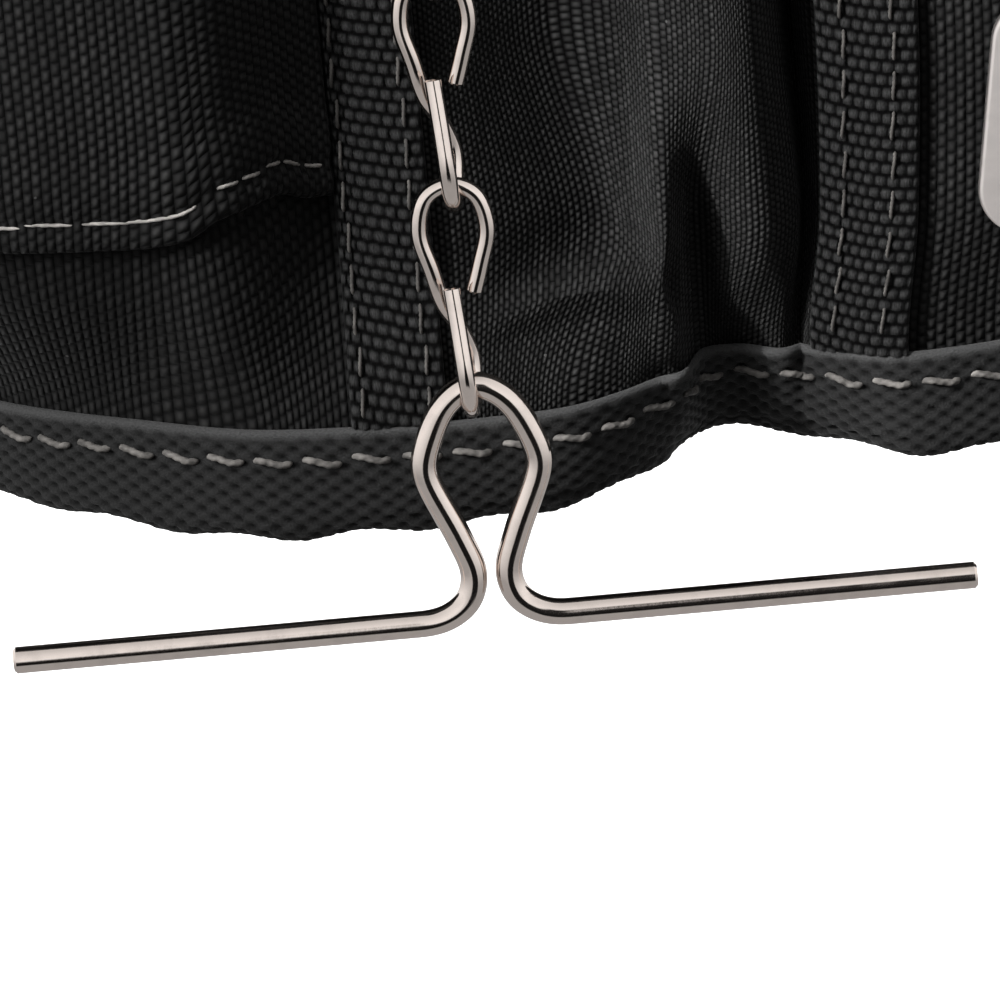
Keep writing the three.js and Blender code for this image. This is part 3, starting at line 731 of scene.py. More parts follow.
def foot_point(loop, height, offset, drop=0):
    """Points round the foot at a height, moved out or in by an offset and down by a drop."""
    heights, base, out, inner, _ = loop
    outward = at_height(heights, out, max(height, 0)) * np.maximum(offset, 0)[:, None]
    inward = at_height(heights, inner, max(height, 0)) * np.minimum(offset, 0)[:, None]
    points = at_height(heights, base, max(height, 0)) + outward + inward
    limit = BACK_REAR_Y - BACK_COVER + offset
    points[:, 1] = np.where(offset < 0, np.minimum(points[:, 1], limit), points[:, 1])
    points[:, 2] -= drop
    return points


def binding_profile(wave):
    """Rows of the folded tape's outline: kind and size of offset, height, drop and share of relief."""
    inside = -(CLOTH + FIT_GAP + LIP_THICK + BINDING_INNER_GAP)
    under = TAPE_TURN_H + TAPE_SAG + wave
    still = np.zeros_like(wave)
    rows = []
    for a in np.linspace(np.pi, 0, RIM_ROWS):
        rows.append(("near", TAPE_RIM * (1.2 + math.cos(a)), CUFF_H, still - TAPE_RIM * math.sin(a), 0))
    rows.append(("near", BINDING_THICK - 0.1, CUFF_H - 0.7, still, 0.5))
    for h in np.arange(CUFF_H - 1.05, TAPE_TURN_H + 0.2, -TAPE_ROW_STEP):
        rows.append(("near", BINDING_THICK, h, still, 1))
    for a in np.linspace(0, np.pi / 2, 13):
        offset = BINDING_THICK - TAPE_TURN_DEPTH * (1 - math.cos(a))
        rows.append(("near", offset, 0, under * math.sin(a) - TAPE_TURN_H, 1))
    for o in np.linspace(-2.7, inside + 0.9, 3):
        rows.append(("fixed", o, 0, under - TAPE_TURN_H, 0.6))
    for a in np.linspace(np.pi / 2, 0, 5):
        offset = inside - BINDING_THICK + 1.9 * (1 - math.cos(a))
        rows.append(("fixed", offset, 0, under * math.sin(a) - TAPE_TURN_H, 0.3))
    for h in np.linspace(TAPE_TURN_H + 1, BINDING_INNER_H, 4):
        rows.append(("fixed", inside - BINDING_THICK, h, still, 0.3))
    rows += [("fixed", inside, BINDING_INNER_H, still, 0), ("fixed", inside, TAPE_FLOOR_H, still, 0)]
    rows += [("near", 0, h, still, 0) for h in (TAPE_FLOOR_H, CUFF_H / 2, CUFF_H - 0.1)]
    return rows


def tape_relief(along, down):
    """Bird's-eye weave of the folded tape, from 0 in the pits to 1 on the lumps between them."""
    drift = 0.25 * np.sin(along * 0.21) + 0.15 * np.sin(along * 0.083 + 1)
    lump = np.cos(2 * np.pi * along / TAPE_CELL) * np.cos(2 * np.pi * (down + drift) / TAPE_ROW)
    return 1 - (0.5 - 0.5 * lump) ** 2.2


def bottom_binding():
    loop = foot_loop(TAPE_STEP, TAPE_BACK_STEP)
    cover = loop[4]
    near = cover + FIT_GAP
    middle = foot_point(loop, CUFF_H / 2, near)
    along = arc_lengths(np.vstack([middle, middle[:1]]))
    along *= TAPE_CELL * round(along[-1] / TAPE_CELL) / along[-1]
    wave = TAPE_WAVE * np.cos(2 * np.pi * (middle[:, 0] - TAPE_WAVE_X) / TAPE_WAVE_LENGTH)
    profile = binding_profile(wave)
    rings = []
    for kind, offset, height, drop, _ in profile:
        out = near + offset if kind == "near" else np.full(len(near), offset)
        rings.append(foot_point(loop, height, out, drop))
    rings = np.array(rings)
    down = arc_lengths(rings[:, len(near) // 4])
    takes = np.array([row[4] for row in profile])
    relief = tape_relief(along[:-1][None, :], down[:, None])
    ways = np.cross(np.gradient(rings, axis=1), np.gradient(rings, axis=0))
    outward = unit(rings - foot_point(loop, CUFF_H / 2, np.full(len(near), -2.0))[None])
    ways = unit(ways) * np.sign(np.sum(ways * outward, axis=-1, keepdims=True))
    rings = rings + ways * (TAPE_RELIEF * takes[:, None] * (relief - TAPE_LEVEL))[..., None]
    sections = rings.transpose(1, 0, 2)
    down_closed = np.append(down, down[-1] + 1)
    uv = np.stack(np.meshgrid(along, down_closed, indexing="ij"), axis=-1)
    # Painted shade: the tape is coloured darker in the pits of its weave and paler on its lumps, by each
    # row's share of relief.
    shade = 1 - takes[:, None] * (1 - relief)
    # Painted highlight: the rim rows of the tape's folded top edge are coloured paler, as if catching light.
    shade[:RIM_ROWS] = RIM_PAINTED_HIGHLIGHT
    shade = shade.T.ravel()
    node = "bottom_binding"
    piece = add_loft("tape_bottom_binding", sections, uv, TAPE, node, "pouch", "join", shade, 80)
    return loop


# Stitches

def thread_mesh(stitches, radius, sides, steps):
    """Two-ply stitches joined in one mesh, each a short twisted tube that dips in at both ends."""
    turn = turns(sides)
    t = np.linspace(0, 1, steps)
    rise = radius * (1.9 * (1 - (2 * t - 1) ** 4) - 1.2)
    ends = 0.35 + 0.65 * edge_round(np.minimum(t, 1 - t), 0.12)
    parts = []
    for path, normals in stitches:
        line = path + normals * rise[:, None]
        ways = unit(np.gradient(line, axis=0))
        side = unit(np.cross(ways, normals))
        other = np.cross(side, ways)
        twist = arc_lengths(line) / (THREAD_LAY * radius)
        ply = 0.74 + 0.36 * np.abs(np.cos(turn[None, :] - np.pi * twist[:, None]))
        size = radius * ply * ends[:, None]
        round_way = np.cos(turn)[None, :, None] * side[:, None] + np.sin(turn)[None, :, None] * other[:, None]
        tube = line[:, None] + size[..., None] * round_way
        parts.append(loft(tube, ring_uv(tube), "fan")[:2])
    return merged(parts)


def stitch_run(path, normals, stitch=PLAIN_STITCH, steps=PLAIN_STEPS):
    """Stitches along a path on cloth: each one's points and normals."""
    pitch, length, slant = stitch
    along = arc_lengths(path)
    count = int(along[-1] // pitch)
    spare = along[-1] - count * pitch
    side = unit(np.cross(unit(np.gradient(path, axis=0)), normals))
    t = np.linspace(-0.5, 0.5, steps)[:, None]
    run = []
    for k in range(count):
        at = spare / 2 + k * pitch + np.linspace(0, length, steps)
        line, aside, facing = (read_along(values, along, at) for values in (path, side, normals))
        lean = slant * (t * (1 + 0.5 * math.sin(1.7 * k)) + 0.4 * np.sin(2 * np.pi * t))
        wander = 0.12 * math.sin(2.1 * k)
        run.append((line + aside * (lean + wander), unit(facing)))
    return run


def add_stitches(name, runs, radius, material=None, sides=6, steps=PLAIN_STEPS):
    points, faces = thread_mesh([stitch for run in runs for stitch in run], radius, sides, steps)
    return add_piece(name, make_mesh(name, points, faces, sharp=80), material or THREAD_GREY)


def front_row(folds, heights, out, stitch=PLAIN_STITCH, steps=PLAIN_STEPS):
    points, normals = front_path(folds, heights)
    path = points + normals * np.asarray(out, float).reshape(-1, 1)
    return stitch_run(path, normals, stitch, steps)


def strap_stitches(name):
    first, last, shares = STRAPS[name]
    heights = np.linspace(STRAP_FOOT_H + 0.6, MOUTH_H - 1, 260)
    out = FIT_GAP + WEBBING - 0.05
    runs = []
    for share in shares:
        fold = FOLD[first] + share * (FOLD[last] - FOLD[first])
        runs.append(front_row(np.full(len(heights), fold), heights, out, STRAP_STITCH, NEAR_STEPS))
    add_stitches(f"stitches_{name}", runs, THREAD, THREAD_DARK, 8, NEAR_STEPS)


def binding_stitches(loop):
    height = CUFF_H - TAPE_SEAM_DOWN
    path = foot_point(loop, height, loop[4] + FIT_GAP + BINDING_THICK + 0.05)
    normals = at_height(loop[0], loop[2], height)
    run = stitch_run(path, normals, BINDING_STITCH, NEAR_STEPS)
    add_stitches("stitches_binding", [run], COARSE_THREAD, sides=10, steps=NEAR_STEPS)


def hem_stitches():
    runs = []
    seams = (
        (HEM_END, FOLD["left strap edge"] - HEM_STOP),
        (FOLD["left strap inner edge"] + HEM_STOP, FOLD["right strap edge"] - HEM_STOP),
        (FOLD["right strap outer edge"] + HEM_STOP, LAST_FOLD - HEM_END),
    )
    for first, last in seams:
        folds = even_folds(first, last, 1.2)
        runs.append(front_row(folds, np.full(len(folds), MOUTH_H - HEM_SEAM_DOWN), HEM_RISE))
    folds = even_folds(FOLD["left flank"] + HEM_STOP, FOLD["left strap edge"] - HEM_STOP, 1.0)
    high = np.full(len(folds), PATCH_TOP_H - HEM_SEAM_DOWN)
    runs.append(front_row(folds, high, patch_lift(folds, high) + CLOTH + HEM_RISE - 0.1))
    add_stitches("stitches_hems", runs, THREAD)
    low = PATCH_STITCH_H + patch_rise(folds)
    out = patch_lift(folds, low) + CLOTH
    slack = folds < HEM_TIGHT_FOLD
    loose = front_row(folds[slack], low[slack], out[slack], LOOSE_STITCH, NEAR_STEPS)
    tight = front_row(folds[~slack], low[~slack], out[~slack] - HEM_SUNK, TIGHT_STITCH, NEAR_STEPS)
    add_stitches("stitches_patch", [loose, tight], HEM_THREAD, THREAD_CREAM, sides=10, steps=NEAR_STEPS)


# Main compartment, floor and back

def main_wall():
    half = HALF_WIDTH - CLOTH - MAIN_SIDE_GAP
    rear_y = BACK_REAR_Y - BACK_THICK - FIT_GAP
    corner_x = half - MAIN_CORNER
    corner_y = MAIN_FRONT_Y + MAIN_CORNER
    turn = np.linspace(np.pi, 1.5 * np.pi, 24)
    left = np.stack([-corner_x + MAIN_CORNER * np.cos(turn), corner_y + MAIN_CORNER * np.sin(turn)], axis=1)
    right = left[::-1] * [-1, 1]
    plan = resample(np.vstack([[[-half, rear_y]], left, right, [[half, rear_y]]]), MAIN_STEP)
    ways = unit(np.gradient(plan, axis=0))
    inward = np.stack([-ways[:, 1], ways[:, 0]], axis=1)
    foot = FLOOR_H + FIT_GAP + 0.1
    rise = (plan[:, 1] - MAIN_FRONT_Y) / (rear_y - MAIN_FRONT_Y)
    top = MAIN_FRONT_TOP_H + (MAIN_BACK_TOP_H - MAIN_FRONT_TOP_H) * rise
    share = rows_with_edges(0, 1, 1 / 120, 0.9 / 200, round_low=False)
    h = foot + (top[:, None] - foot) * share
    down = top[:, None] - h
    shape = edge_round(down, MAIN_THICK / 2)
    hem = MAIN_HEM * (1 - ease(HEM_WIDTH, HEM_WIDTH + 1.5, down))
    phase = np.arange(len(plan))[:, None] * 0.2 + h * 0.05
    wave = MAIN_WAVE * np.sin(phase) * ease(30, 60, h) * ease(0, 12, down)
    middle = MAIN_THICK / 2 + np.maximum(wave, -0.1)
    walls = []
    for depth in (middle - (MAIN_THICK / 2) * shape, middle + (MAIN_THICK / 2 + hem) * shape):
        x, y = (plan[:, k, None] + inward[:, k, None] * depth for k in range(2))
        walls.append(spots(x, y, FOOT_Z + h))
    sections = there_and_back(*walls)
    piece = add_loft("cloth_main_wall", sections, ring_uv(sections), NYLON, "main_wall", sharp=70)
    row = np.column_stack([plan, FOOT_Z + top - HEM_SEAM_DOWN])
    normals = np.column_stack([-inward, np.zeros(len(plan))])
    inside = row - normals * (MAIN_THICK + MAIN_HEM)
    runs = [stitch_run(row + normals * STITCH_LIFT, normals), stitch_run(inside, -normals)]
    add_stitches("stitches_main_wall", runs, THREAD)


def base_panel():
    loop = foot_loop(FLOOR_STEP, FLOOR_BACK_STEP)
    count = len(loop[4])
    outside = np.full(count, -(CLOTH + FIT_GAP))
    inside = outside - LIP_THICK
    middle = np.array([0, (FRONT_Y + BACK_REAR_Y) / 2, 0])

    def floor_ring(height, share):
        ring = foot_point(loop, LIP_TOP_H, inside)
        ring = ring + (middle - ring) * share
        ring[:, 2] = FOOT_Z + height
        return ring

    rings = [floor_ring(FLOOR_H, FLOOR_SHARE), floor_ring(FLOOR_H, 0.12), floor_ring(FLOOR_H - 0.05, 0.04)]
    rings += [foot_point(loop, LIP_TOP_H, outside - 0.5), foot_point(loop, LIP_TOP_H - 0.6, outside)]
    rings += [foot_point(loop, h, outside) for h in (9, 5, LIP_FOOT_H + 0.5)]
    rings += [foot_point(loop, LIP_FOOT_H, outside - LIP_THICK / 2)]
    rings += [foot_point(loop, h, inside) for h in (LIP_FOOT_H + 0.5, 5, LIP_TOP_H - FLOOR_THICK)]
    rings += [floor_ring(FLOOR_H - FLOOR_THICK, 0.12), floor_ring(FLOOR_H - FLOOR_THICK, FLOOR_SHARE)]
    sections = np.array(rings)
    uv = closed(sections)[..., :2]
    piece = add_loft("cloth_base_panel", sections, uv, NYLON, "base_panel", ends="fan", sharp=60)


def back_panel():
    radius = BACK_THICK / 2
    columns = rows_with_edges(-HALF_WIDTH, HALF_WIDTH, BACK_STEP, radius)
    share = rows_with_edges(0, 1, 1 / 110, radius / 260)
    middle_y = BACK_REAR_Y - BACK_THICK / 2
    x = columns[:, None]
    over = np.maximum(0, np.abs(x) - (HALF_WIDTH - BACK_CORNER))
    top = BACK_TOP_Z - BACK_CORNER + np.sqrt(np.maximum(0, BACK_CORNER ** 2 - over ** 2))
    z = FOOT_Z + (top - FOOT_Z) * share
    side = np.maximum(edge_round(HALF_WIDTH - np.abs(x), radius), THIN_EDGE)
    half = radius * np.minimum(edge_round(np.minimum(top - z, z - FOOT_Z), radius), side)
    half = np.maximum(half, THIN_EDGE)
    quilt = BACK_QUILT * np.sin(x * 0.09) * np.sin(z * 0.07)
    rear = middle_y + half + np.minimum(quilt, 0)
    sections = there_and_back(spots(x, middle_y - half, z), spots(x, rear, z))
    uv = closed(sections)[..., [0, 2]]
    piece = add_loft("cloth_back_panel", sections, uv, NYLON, "back_panel", sharp=60)
    back_stitches(middle_y)


def flat_run(path, way, stitch=PLAIN_STITCH):
    """Stitches on a face that looks to the rear (1) or to the front (-1)."""
    return stitch_run(path, np.tile([0.0, way, 0.0], (len(path), 1)), stitch)


def back_stitches(middle_y):
    """Two rows round the back panel's sides and top, on both faces."""
    runs = []
    turn = np.linspace(0, np.pi / 2, 12)
    for inset in BACK_SEAMS:
        half = HALF_WIDTH - inset
        corner = BACK_CORNER - inset
        arc_z = BACK_TOP_Z - BACK_CORNER + corner * np.sin(turn)
        arc = np.column_stack([half - corner + corner * np.cos(turn), arc_z])
        right = np.vstack([[[half, FOOT_Z + CUFF_H + 4]], arc])
        outline = resample(np.vstack([right, right[::-1] * [-1, 1]]), 1.5)
        for way in (1, -1):
            y = middle_y + way * (BACK_THICK / 2 + STITCH_LIFT)
            runs.append(flat_run(spots(outline[:, 0], y, outline[:, 1]), way))
    add_stitches("stitches_back_panel", runs, THREAD)


def belt_tunnel():
    sewn = BACK_REAR_Y + FIT_GAP + TUNNEL_THICK / 2
    out = sewn + TUNNEL_SLOT_DEPTH
    bend = TUNNEL_SLOT_HALF_HEIGHT
    foot = bend + TUNNEL_SLOPE
    end = foot + TUNNEL_FLANGE
    corners = np.array([[sewn, end], [sewn, foot], [out, bend], [out, -bend], [sewn, -foot], [sewn, -end]])
    line = resample(corners, 0.5)
    kernel = np.ones(5) / 5
    padded = np.vstack([np.tile(line[:1], (2, 1)), line, np.tile(line[-1:], (2, 1))])
    line = np.stack([np.convolve(padded[:, k], kernel, "valid") for k in range(2)], axis=1)
    ways = unit(np.gradient(line, axis=0))
    side = np.stack([ways[:, 1], -ways[:, 0]], axis=1) * -1
    along = arc_lengths(line)
    shape = edge_round(np.minimum(along, along[-1] - along), TUNNEL_THICK / 2)
    columns = rows_with_edges(-TUNNEL_HALF_LENGTH, TUNNEL_HALF_LENGTH, BACK_STEP, TUNNEL_THICK / 2)
    x = columns[:, None]
    ends = np.maximum(edge_round(TUNNEL_HALF_LENGTH - np.abs(x), TUNNEL_THICK / 2), TUNNEL_EDGE)
    half = TUNNEL_THICK / 2 * np.maximum(np.minimum(shape, ends), TUNNEL_EDGE)
    y, z = line.T
    y_way, z_way = side.T
    rear = spots(x, y + y_way * half, z + z_way * half)
    front = spots(x, y - y_way * half, z - z_way * half)
    sections = there_and_back(rear, front)
    uv = ring_uv(sections, columns)
    piece = add_loft("cloth_belt_tunnel", sections, uv, NYLON, "belt_tunnel", sharp=60)
    runs = []
    face = TUNNEL_THICK / 2 + STITCH_LIFT
    xs = np.linspace(3 - TUNNEL_HALF_LENGTH, TUNNEL_HALF_LENGTH - 3, 90)
    for way in (1, -1):
        for inset in TUNNEL_SEAMS:
            runs.append(flat_run(spots(xs, sewn + face, way * (end - inset)), 1, TUNNEL_STITCH))
    zs = np.linspace(3 - bend, bend - 3, 60)
    for x in (5 - TUNNEL_HALF_LENGTH, TUNNEL_HALF_LENGTH - 5):
        runs.append(flat_run(spots(x, out + face, zs), 1, TUNNEL_STITCH))
    add_stitches("stitches_belt_tunnel", runs, THREAD)


# Metal

def wire_sections(path, diameter, sides, chamfer):
    """Rings of a round wire with lightly broken ends."""
    start = path[0] + unit(path[1] - path[0]) * chamfer
    finish = path[-1] + unit(path[-2] - path[-1]) * chamfer
    line = np.vstack([path[:1], start[None], path[1:-1], finish[None], path[-1:]])
    ways = unit(np.gradient(line, axis=0))
    size = np.full(len(line), diameter / 2)
    size[[0, -1]] -= chamfer
    side = unit(np.cross([0, 1, 0], ways[0]))
    turn = turns(sides)
    rings = []
    for point, way, radius in zip(line, ways, size):
        side = unit(side - way * np.dot(side, way))
        other = np.cross(way, side)
        rings.append(point + radius * (np.cos(turn)[:, None] * side + np.sin(turn)[:, None] * other))
    return np.array(rings)


def smoothed(path, width):
    """A path of even steps with its corners eased, its ends kept."""
    kernel = np.hanning(width + 2)[1:-1]
    kernel /= kernel.sum()
    pad = width // 2
    start = 2 * path[:1] - path[pad:0:-1]
    finish = 2 * path[-1:] - path[-2:-pad - 2:-1]
    longer = np.vstack([start, path, finish])
    return np.stack([np.convolve(longer[:, k], kernel, "valid") for k in range(3)], axis=1)


def t_bar():
    half = np.array([(x, 0, -drop) for x, drop in BAR_HALF], float)
    points = np.vstack([half[:0:-1] * [-1, 1, 1], half])
    bent = curve_through(points, np.linspace(2, len(points) - 3, 500))
    path = np.vstack([points[:1], bent, points[-1:]])
    path = smoothed(resample(path, BAR_STEP), BAR_EASE) + [BAR_X, CHAIN_Y, FOOT_Z + BAR_APEX_H]
    sections = wire_sections(path, BAR_WIRE, BAR_SIDES, BAR_CHAMFER)
    add_wire("wire_t_bar", sections, "t_bar", "t_bar")


def chain():
    lowest = FOOT_Z + BAR_APEX_H - BAR_HALF[0][1] - (BAR_WIRE + LINK_WIRE) / 2 - FIT_GAP - LINK_BOTTOM
    pitch = LINK_TOP - LINK_BOTTOM - LINK_WIRE - FIT_GAP
    curve = curve_through(np.array(LINK_POINTS, float), np.linspace(0, len(LINK_POINTS) - 1, 600))
    path = smoothed(resample(curve, LINK_STEP), LINK_EASE)
    for k in range(LINK_COUNT):
        number = LINK_COUNT - k
        hung = path + [CHAIN_X, CHAIN_Y, lowest + pitch * k]
        sections = wire_sections(hung, LINK_WIRE, LINK_SIDES, LINK_CHAMFER)
        add_wire(f"wire_link_{number}", sections, f"chain_link_{number}", "pouch")
    apex = lowest + pitch * (LINK_COUNT - 1) + LINK_TOP
    chain_rivet(apex - LINK_WIRE / 2 - FIT_GAP - RIVET_SHANK)


def lathe(x, z, profile, sides):
    """Rings of a round part on a line along Y, from rows of a radius and a place in Y."""
    turn = turns(sides)
    return np.array([spots(x + r * np.cos(turn), y, z + r * np.sin(turn)) for r, y in profile])


def chain_rivet(shank_z):
    point, normal = front_path([FOLD["left strap inner edge"]], [shank_z - FOOT_Z])
    rear_y = (point + normal * (WEBBING + 2 * FIT_GAP))[0, 1]
    head_y = CHAIN_Y - LINK_WIRE
    profile = [(0.6, rear_y), (RIVET_FLANGE - 0.2, rear_y), (RIVET_FLANGE, rear_y - 0.3)]
    profile += [(RIVET_FLANGE - 0.3, rear_y - 0.9), (RIVET_SHANK + 0.4, rear_y - 1.4)]
    profile += [(RIVET_SHANK, rear_y - 1.8), (RIVET_SHANK, head_y), (RIVET_HEAD - 0.2, head_y)]
    profile += [(RIVET_HEAD * math.cos(a), head_y - 0.2 - 1.7 * math.sin(a)) for a in np.linspace(0, 1.4, 9)]
    sections = lathe(CHAIN_X, shank_z, profile, 40)
    uv = ring_uv(sections)
    add_loft("metal_chain_rivet", sections, uv, NICKEL, "chain_rivet", ends="fan", sharp=40)


def leaning(across, up):
    """Places in X and Z of spots on the leaning clip, given from its middle."""
    x = CLIP_X + across * math.cos(CLIP_TILT) + up * math.sin(CLIP_TILT)
    z = FOOT_Z + CLIP_H - across * math.sin(CLIP_TILT) + up * math.cos(CLIP_TILT)
    return np.stack([x, z], axis=-1)


def clip_outline(inset):
    """Rounded outline of the clip's plate, moved in by an inset."""
    corner = CLIP_CORNER - inset
    half = CLIP_WIDTH / 2 - CLIP_CORNER
    tall = CLIP_HEIGHT / 2 - CLIP_CORNER
    arcs = []
    for across, up, start in ((-half, -tall, 180), (half, -tall, 270), (half, tall, 0), (-half, tall, 90)):
        turn = np.radians(np.linspace(start, start + 90, 12))
        arcs.append(leaning(across + corner * np.cos(turn), up + corner * np.sin(turn)))
    return np.vstack(arcs)


def outward_loft(sections):
    """Points and faces of a capped loft with its faces turned out."""
    points, faces, _ = loft(sections, ring_uv(sections), "fan")
    if signed_volume(points, faces) < 0:
        faces = [face[::-1] for face in faces]
    return points, faces


def clip_post(across):
    """Post behind the plate, from a fillet at its rear to the cloth of the right pocket."""
    x, z = leaning(across, 0.0)
    height = z - FOOT_Z
    folds = np.linspace(FOLD["right strap outer edge"], FOLD["right flank"], 200)
    face = front_points(folds, [height - CLIP_POST, height, height + CLIP_POST])
    near = face[np.abs(face[..., 0] - x) < CLIP_POST]
    seat_y = near[:, 1].min() - FIT_GAP
    back_y = CLIP_FRONT_Y + CLIP_THICK
    profile = [(CLIP_POST + 0.5, back_y), (CLIP_POST, back_y + 0.5)]
    profile += [(CLIP_POST, seat_y - 0.4), (CLIP_POST - 0.3, seat_y)]
    return outward_loft(lathe(x, z, profile, 28))


def tape_clip():
    turn = np.linspace(0, np.pi / 2, 6)
    profile = [(CLIP_EDGE * (1 - math.sin(a)), CLIP_FRONT_Y + CLIP_EDGE * (1 - math.cos(a))) for a in turn]
    profile += [(inset, 2 * CLIP_FRONT_Y + CLIP_THICK - y) for inset, y in profile[::-1]]
    profile = [(CLIP_FLAT, CLIP_FRONT_Y)] + profile + [(CLIP_FLAT, CLIP_FRONT_Y + CLIP_THICK)]
    rings = []
    for inset, y in profile:
        outline = clip_outline(inset)
        rings.append(spots(outline[:, 0], y, outline[:, 1]))
    reach = CLIP_WIDTH / 2 - CLIP_POST_INSET
    points, faces = merged([outward_loft(np.array(rings)), clip_post(-reach), clip_post(reach)])
    mesh = make_mesh("metal_tape_clip", points, faces, sharp=35)
    add_piece("metal_tape_clip", mesh, SATIN, ["tape_clip"])


# Materials

class Tree:
    """Node tree of a material or of the world, with short calls for its nodes."""

    def __init__(self, owner, shader="Principled BSDF"):
        owner.use_nodes = True
        self.material = owner
        self.nodes = owner.node_tree.nodes
        self.links = owner.node_tree.links
        self.shader = self.nodes[shader]

    def fill(self, socket, value):
        if isinstance(value, bpy.types.NodeSocket):
            self.links.new(value, socket)
        else:
            socket.default_value = value

    def add(self, kind, inputs=None, **settings):
        made = self.nodes.new(f"ShaderNode{kind}")
        for key, value in settings.items():
            setattr(made, key, value)
        for key, value in (inputs or {}).items():
            self.fill(made.inputs[key], value)
        return made

    def math(self, operation, *values):
        made = self.add("Math", operation=operation)
        for socket, value in zip(made.inputs, values):
            self.fill(socket, value)
        return made.outputs[0]

    def times(self, first, second):
        return self.math("MULTIPLY", first, second)

    def minus(self, first, second):
        return self.math("SUBTRACT", first, second)

    def ramp(self, value, low, high, dark=0.0, light=1.0, kind="LINEAR"):
        """Number from dark to light as a value goes from low to high."""
        inputs = {"Value": value, "From Min": low, "From Max": high, "To Min": dark, "To Max": light}
        return self.add("MapRange", inputs, interpolation_type=kind).outputs["Result"]

    def ease(self, value, low, high):
        return self.ramp(value, low, high, kind="SMOOTHSTEP")

    def noise(self, scale, detail=2.0, vector=None):
        place = vector or self.add("TexCoord").outputs["Object"]
        made = self.add("TexNoise", {"Vector": place, "Scale": scale, "Detail": detail})
        return made.outputs["Fac"]

    def mix(self, share, first, second):
        made = self.add("Mix", data_type="RGBA")
        colors = [socket for socket in made.inputs if socket.type == "RGBA"]
        self.fill(made.inputs["Factor"], share)
        self.fill(colors[0], first)
        self.fill(colors[1], second)
        return [socket for socket in made.outputs if socket.type == "RGBA"][0]

    def set(self, **values):
        for key, value in values.items():
            self.fill(self.shader.inputs[key.replace("_", " ")], value)

    def bump(self, height, distance, strength):
        made = self.add("Bump", {"Height": height, "Distance": distance, "Strength": strength})
        return made.outputs["Normal"]

    def weave(self):
        return self.add("UVMap", uv_map="weave").outputs["UV"]


def grey(value, warm=0.0):
    return (value * (1 + warm), value, value * (1 - warm), 1)


def woven(name, column, row, dark, light, depth, shift=0.5):
    """Cloth of yarn floats of uneven grey, painted paler on each float's crown as a highlight and darker
    between the floats as shade, each column shifted by a share of a row, with a little lint.
    """
    t = Tree(bpy.data.materials.new(name))
    split = t.add("SeparateXYZ", {"Vector": t.weave()}).outputs
    u = t.math("DIVIDE", split["X"], column)
    i = t.math("FLOOR", u)
    v = t.math("ADD", t.math("DIVIDE", split["Y"], row), t.times(i, shift))
    j = t.math("FLOOR", v)
    a, b = (t.times(t.minus(t.minus(at, whole), 0.5), 2.0) for at, whole in ((u, i), (v, j)))
    crown = t.minus(1.0, t.times(a, a))
    length = t.minus(1.0, t.math("POWER", t.math("ABSOLUTE", b), 2.2))
    height = t.times(crown, length)
    cell = t.add("CombineXYZ", {"X": i, "Y": j}).outputs["Vector"]
    chance = t.add("TexWhiteNoise", {"Vector": cell}, noise_dimensions="2D").outputs["Value"]
    yarn = t.add("TexWhiteNoise", {"W": i}, noise_dimensions="1D").outputs["Value"]
    uneven = t.times(t.ramp(chance, 0, 1, 0.55, 1.15), t.ramp(yarn, 0, 1, 0.75, 1.15))
    patchy = t.ramp(t.noise(60.0, 3.0), 0.3, 0.7, 0.75, 1.15)
    # Painted highlight and shade: the colour is paler on each float's crown and darker in the gaps between
    # the floats, where light and shade would fall.
    lit = t.times(t.times(t.math("POWER", height, 1.5), uneven), patchy)
    place = t.add("TexCoord").outputs["Object"]
    lint = t.add("TexVoronoi", {"Vector": place, "Scale": LINT_SCALE}).outputs["Distance"]
    clump = t.math("GREATER_THAN", t.noise(90.0), LINT_CLUMP)
    speck = t.times(t.times(t.math("LESS_THAN", lint, LINT_SIZE), clump), 0.4)
    color = t.mix(speck, t.mix(lit, grey(dark), grey(light, 0.01)), grey(LINT_GREY, 0.02))
    t.set(Base_Color=color, Roughness=0.5, Sheen_Weight=0.05, Sheen_Roughness=0.4, Specular_IOR_Level=0.03)
    t.set(Normal=t.bump(t.times(height, t.ramp(chance, 0, 1, 0.7, 1.15)), depth * MM, 1.0))
    return t.material


def ribbed(name, grain, detail, lumps, fibre, tones, depth, strength, **surface):
    """Webbing or tape with painted shade and highlight read from the relief attribute: darker in the pits of
    its modelled weave, paler on its lumps and on the tape's top rim, and uneven along its fibres.
    """
    t = Tree(bpy.data.materials.new(name))
    relief = t.add("Attribute", attribute_name="relief").outputs["Fac"]
    place = t.add("Mapping", {"Vector": t.weave(), "Scale": grain}).outputs["Vector"]
    fibres = t.noise(1.0, detail, place)
    # Painted shade and highlight: the light grey's share follows the relief attribute.
    share = t.times(t.ramp(relief, *lumps), t.ramp(fibres, *fibre))
    t.set(Base_Color=t.mix(share, *map(grey, tones)), **surface)
    t.set(Normal=t.bump(fibres, depth * MM, strength))
    return t.material


def thread(name, dark, light):
    t = Tree(bpy.data.materials.new(name))
    share = t.ramp(t.noise(900.0, 3.0), 0.3, 0.7)
    color = t.mix(share, grey(dark, 0.05), grey(light, 0.06))
    t.set(Base_Color=color, Roughness=0.55, Specular_IOR_Level=0.15)
    return t.material


def metal(name, color, smooth, rough):
    t = Tree(bpy.data.materials.new(name))
    scuff = t.noise(420.0, 5.0)
    fine = t.noise(2600.0, 3.0)
    t.set(Metallic=1.0, Roughness=t.ramp(scuff, 0.35, 0.75, smooth, rough))
    worn = (*(0.8 * part for part in color), 1)
    t.set(Base_Color=t.mix(t.ramp(scuff, 0.5, 0.8, 0.0, 0.6), (*color, 1), worn))
    t.set(Normal=t.bump(fine, 0.02 * MM, 0.15))
    return t.material
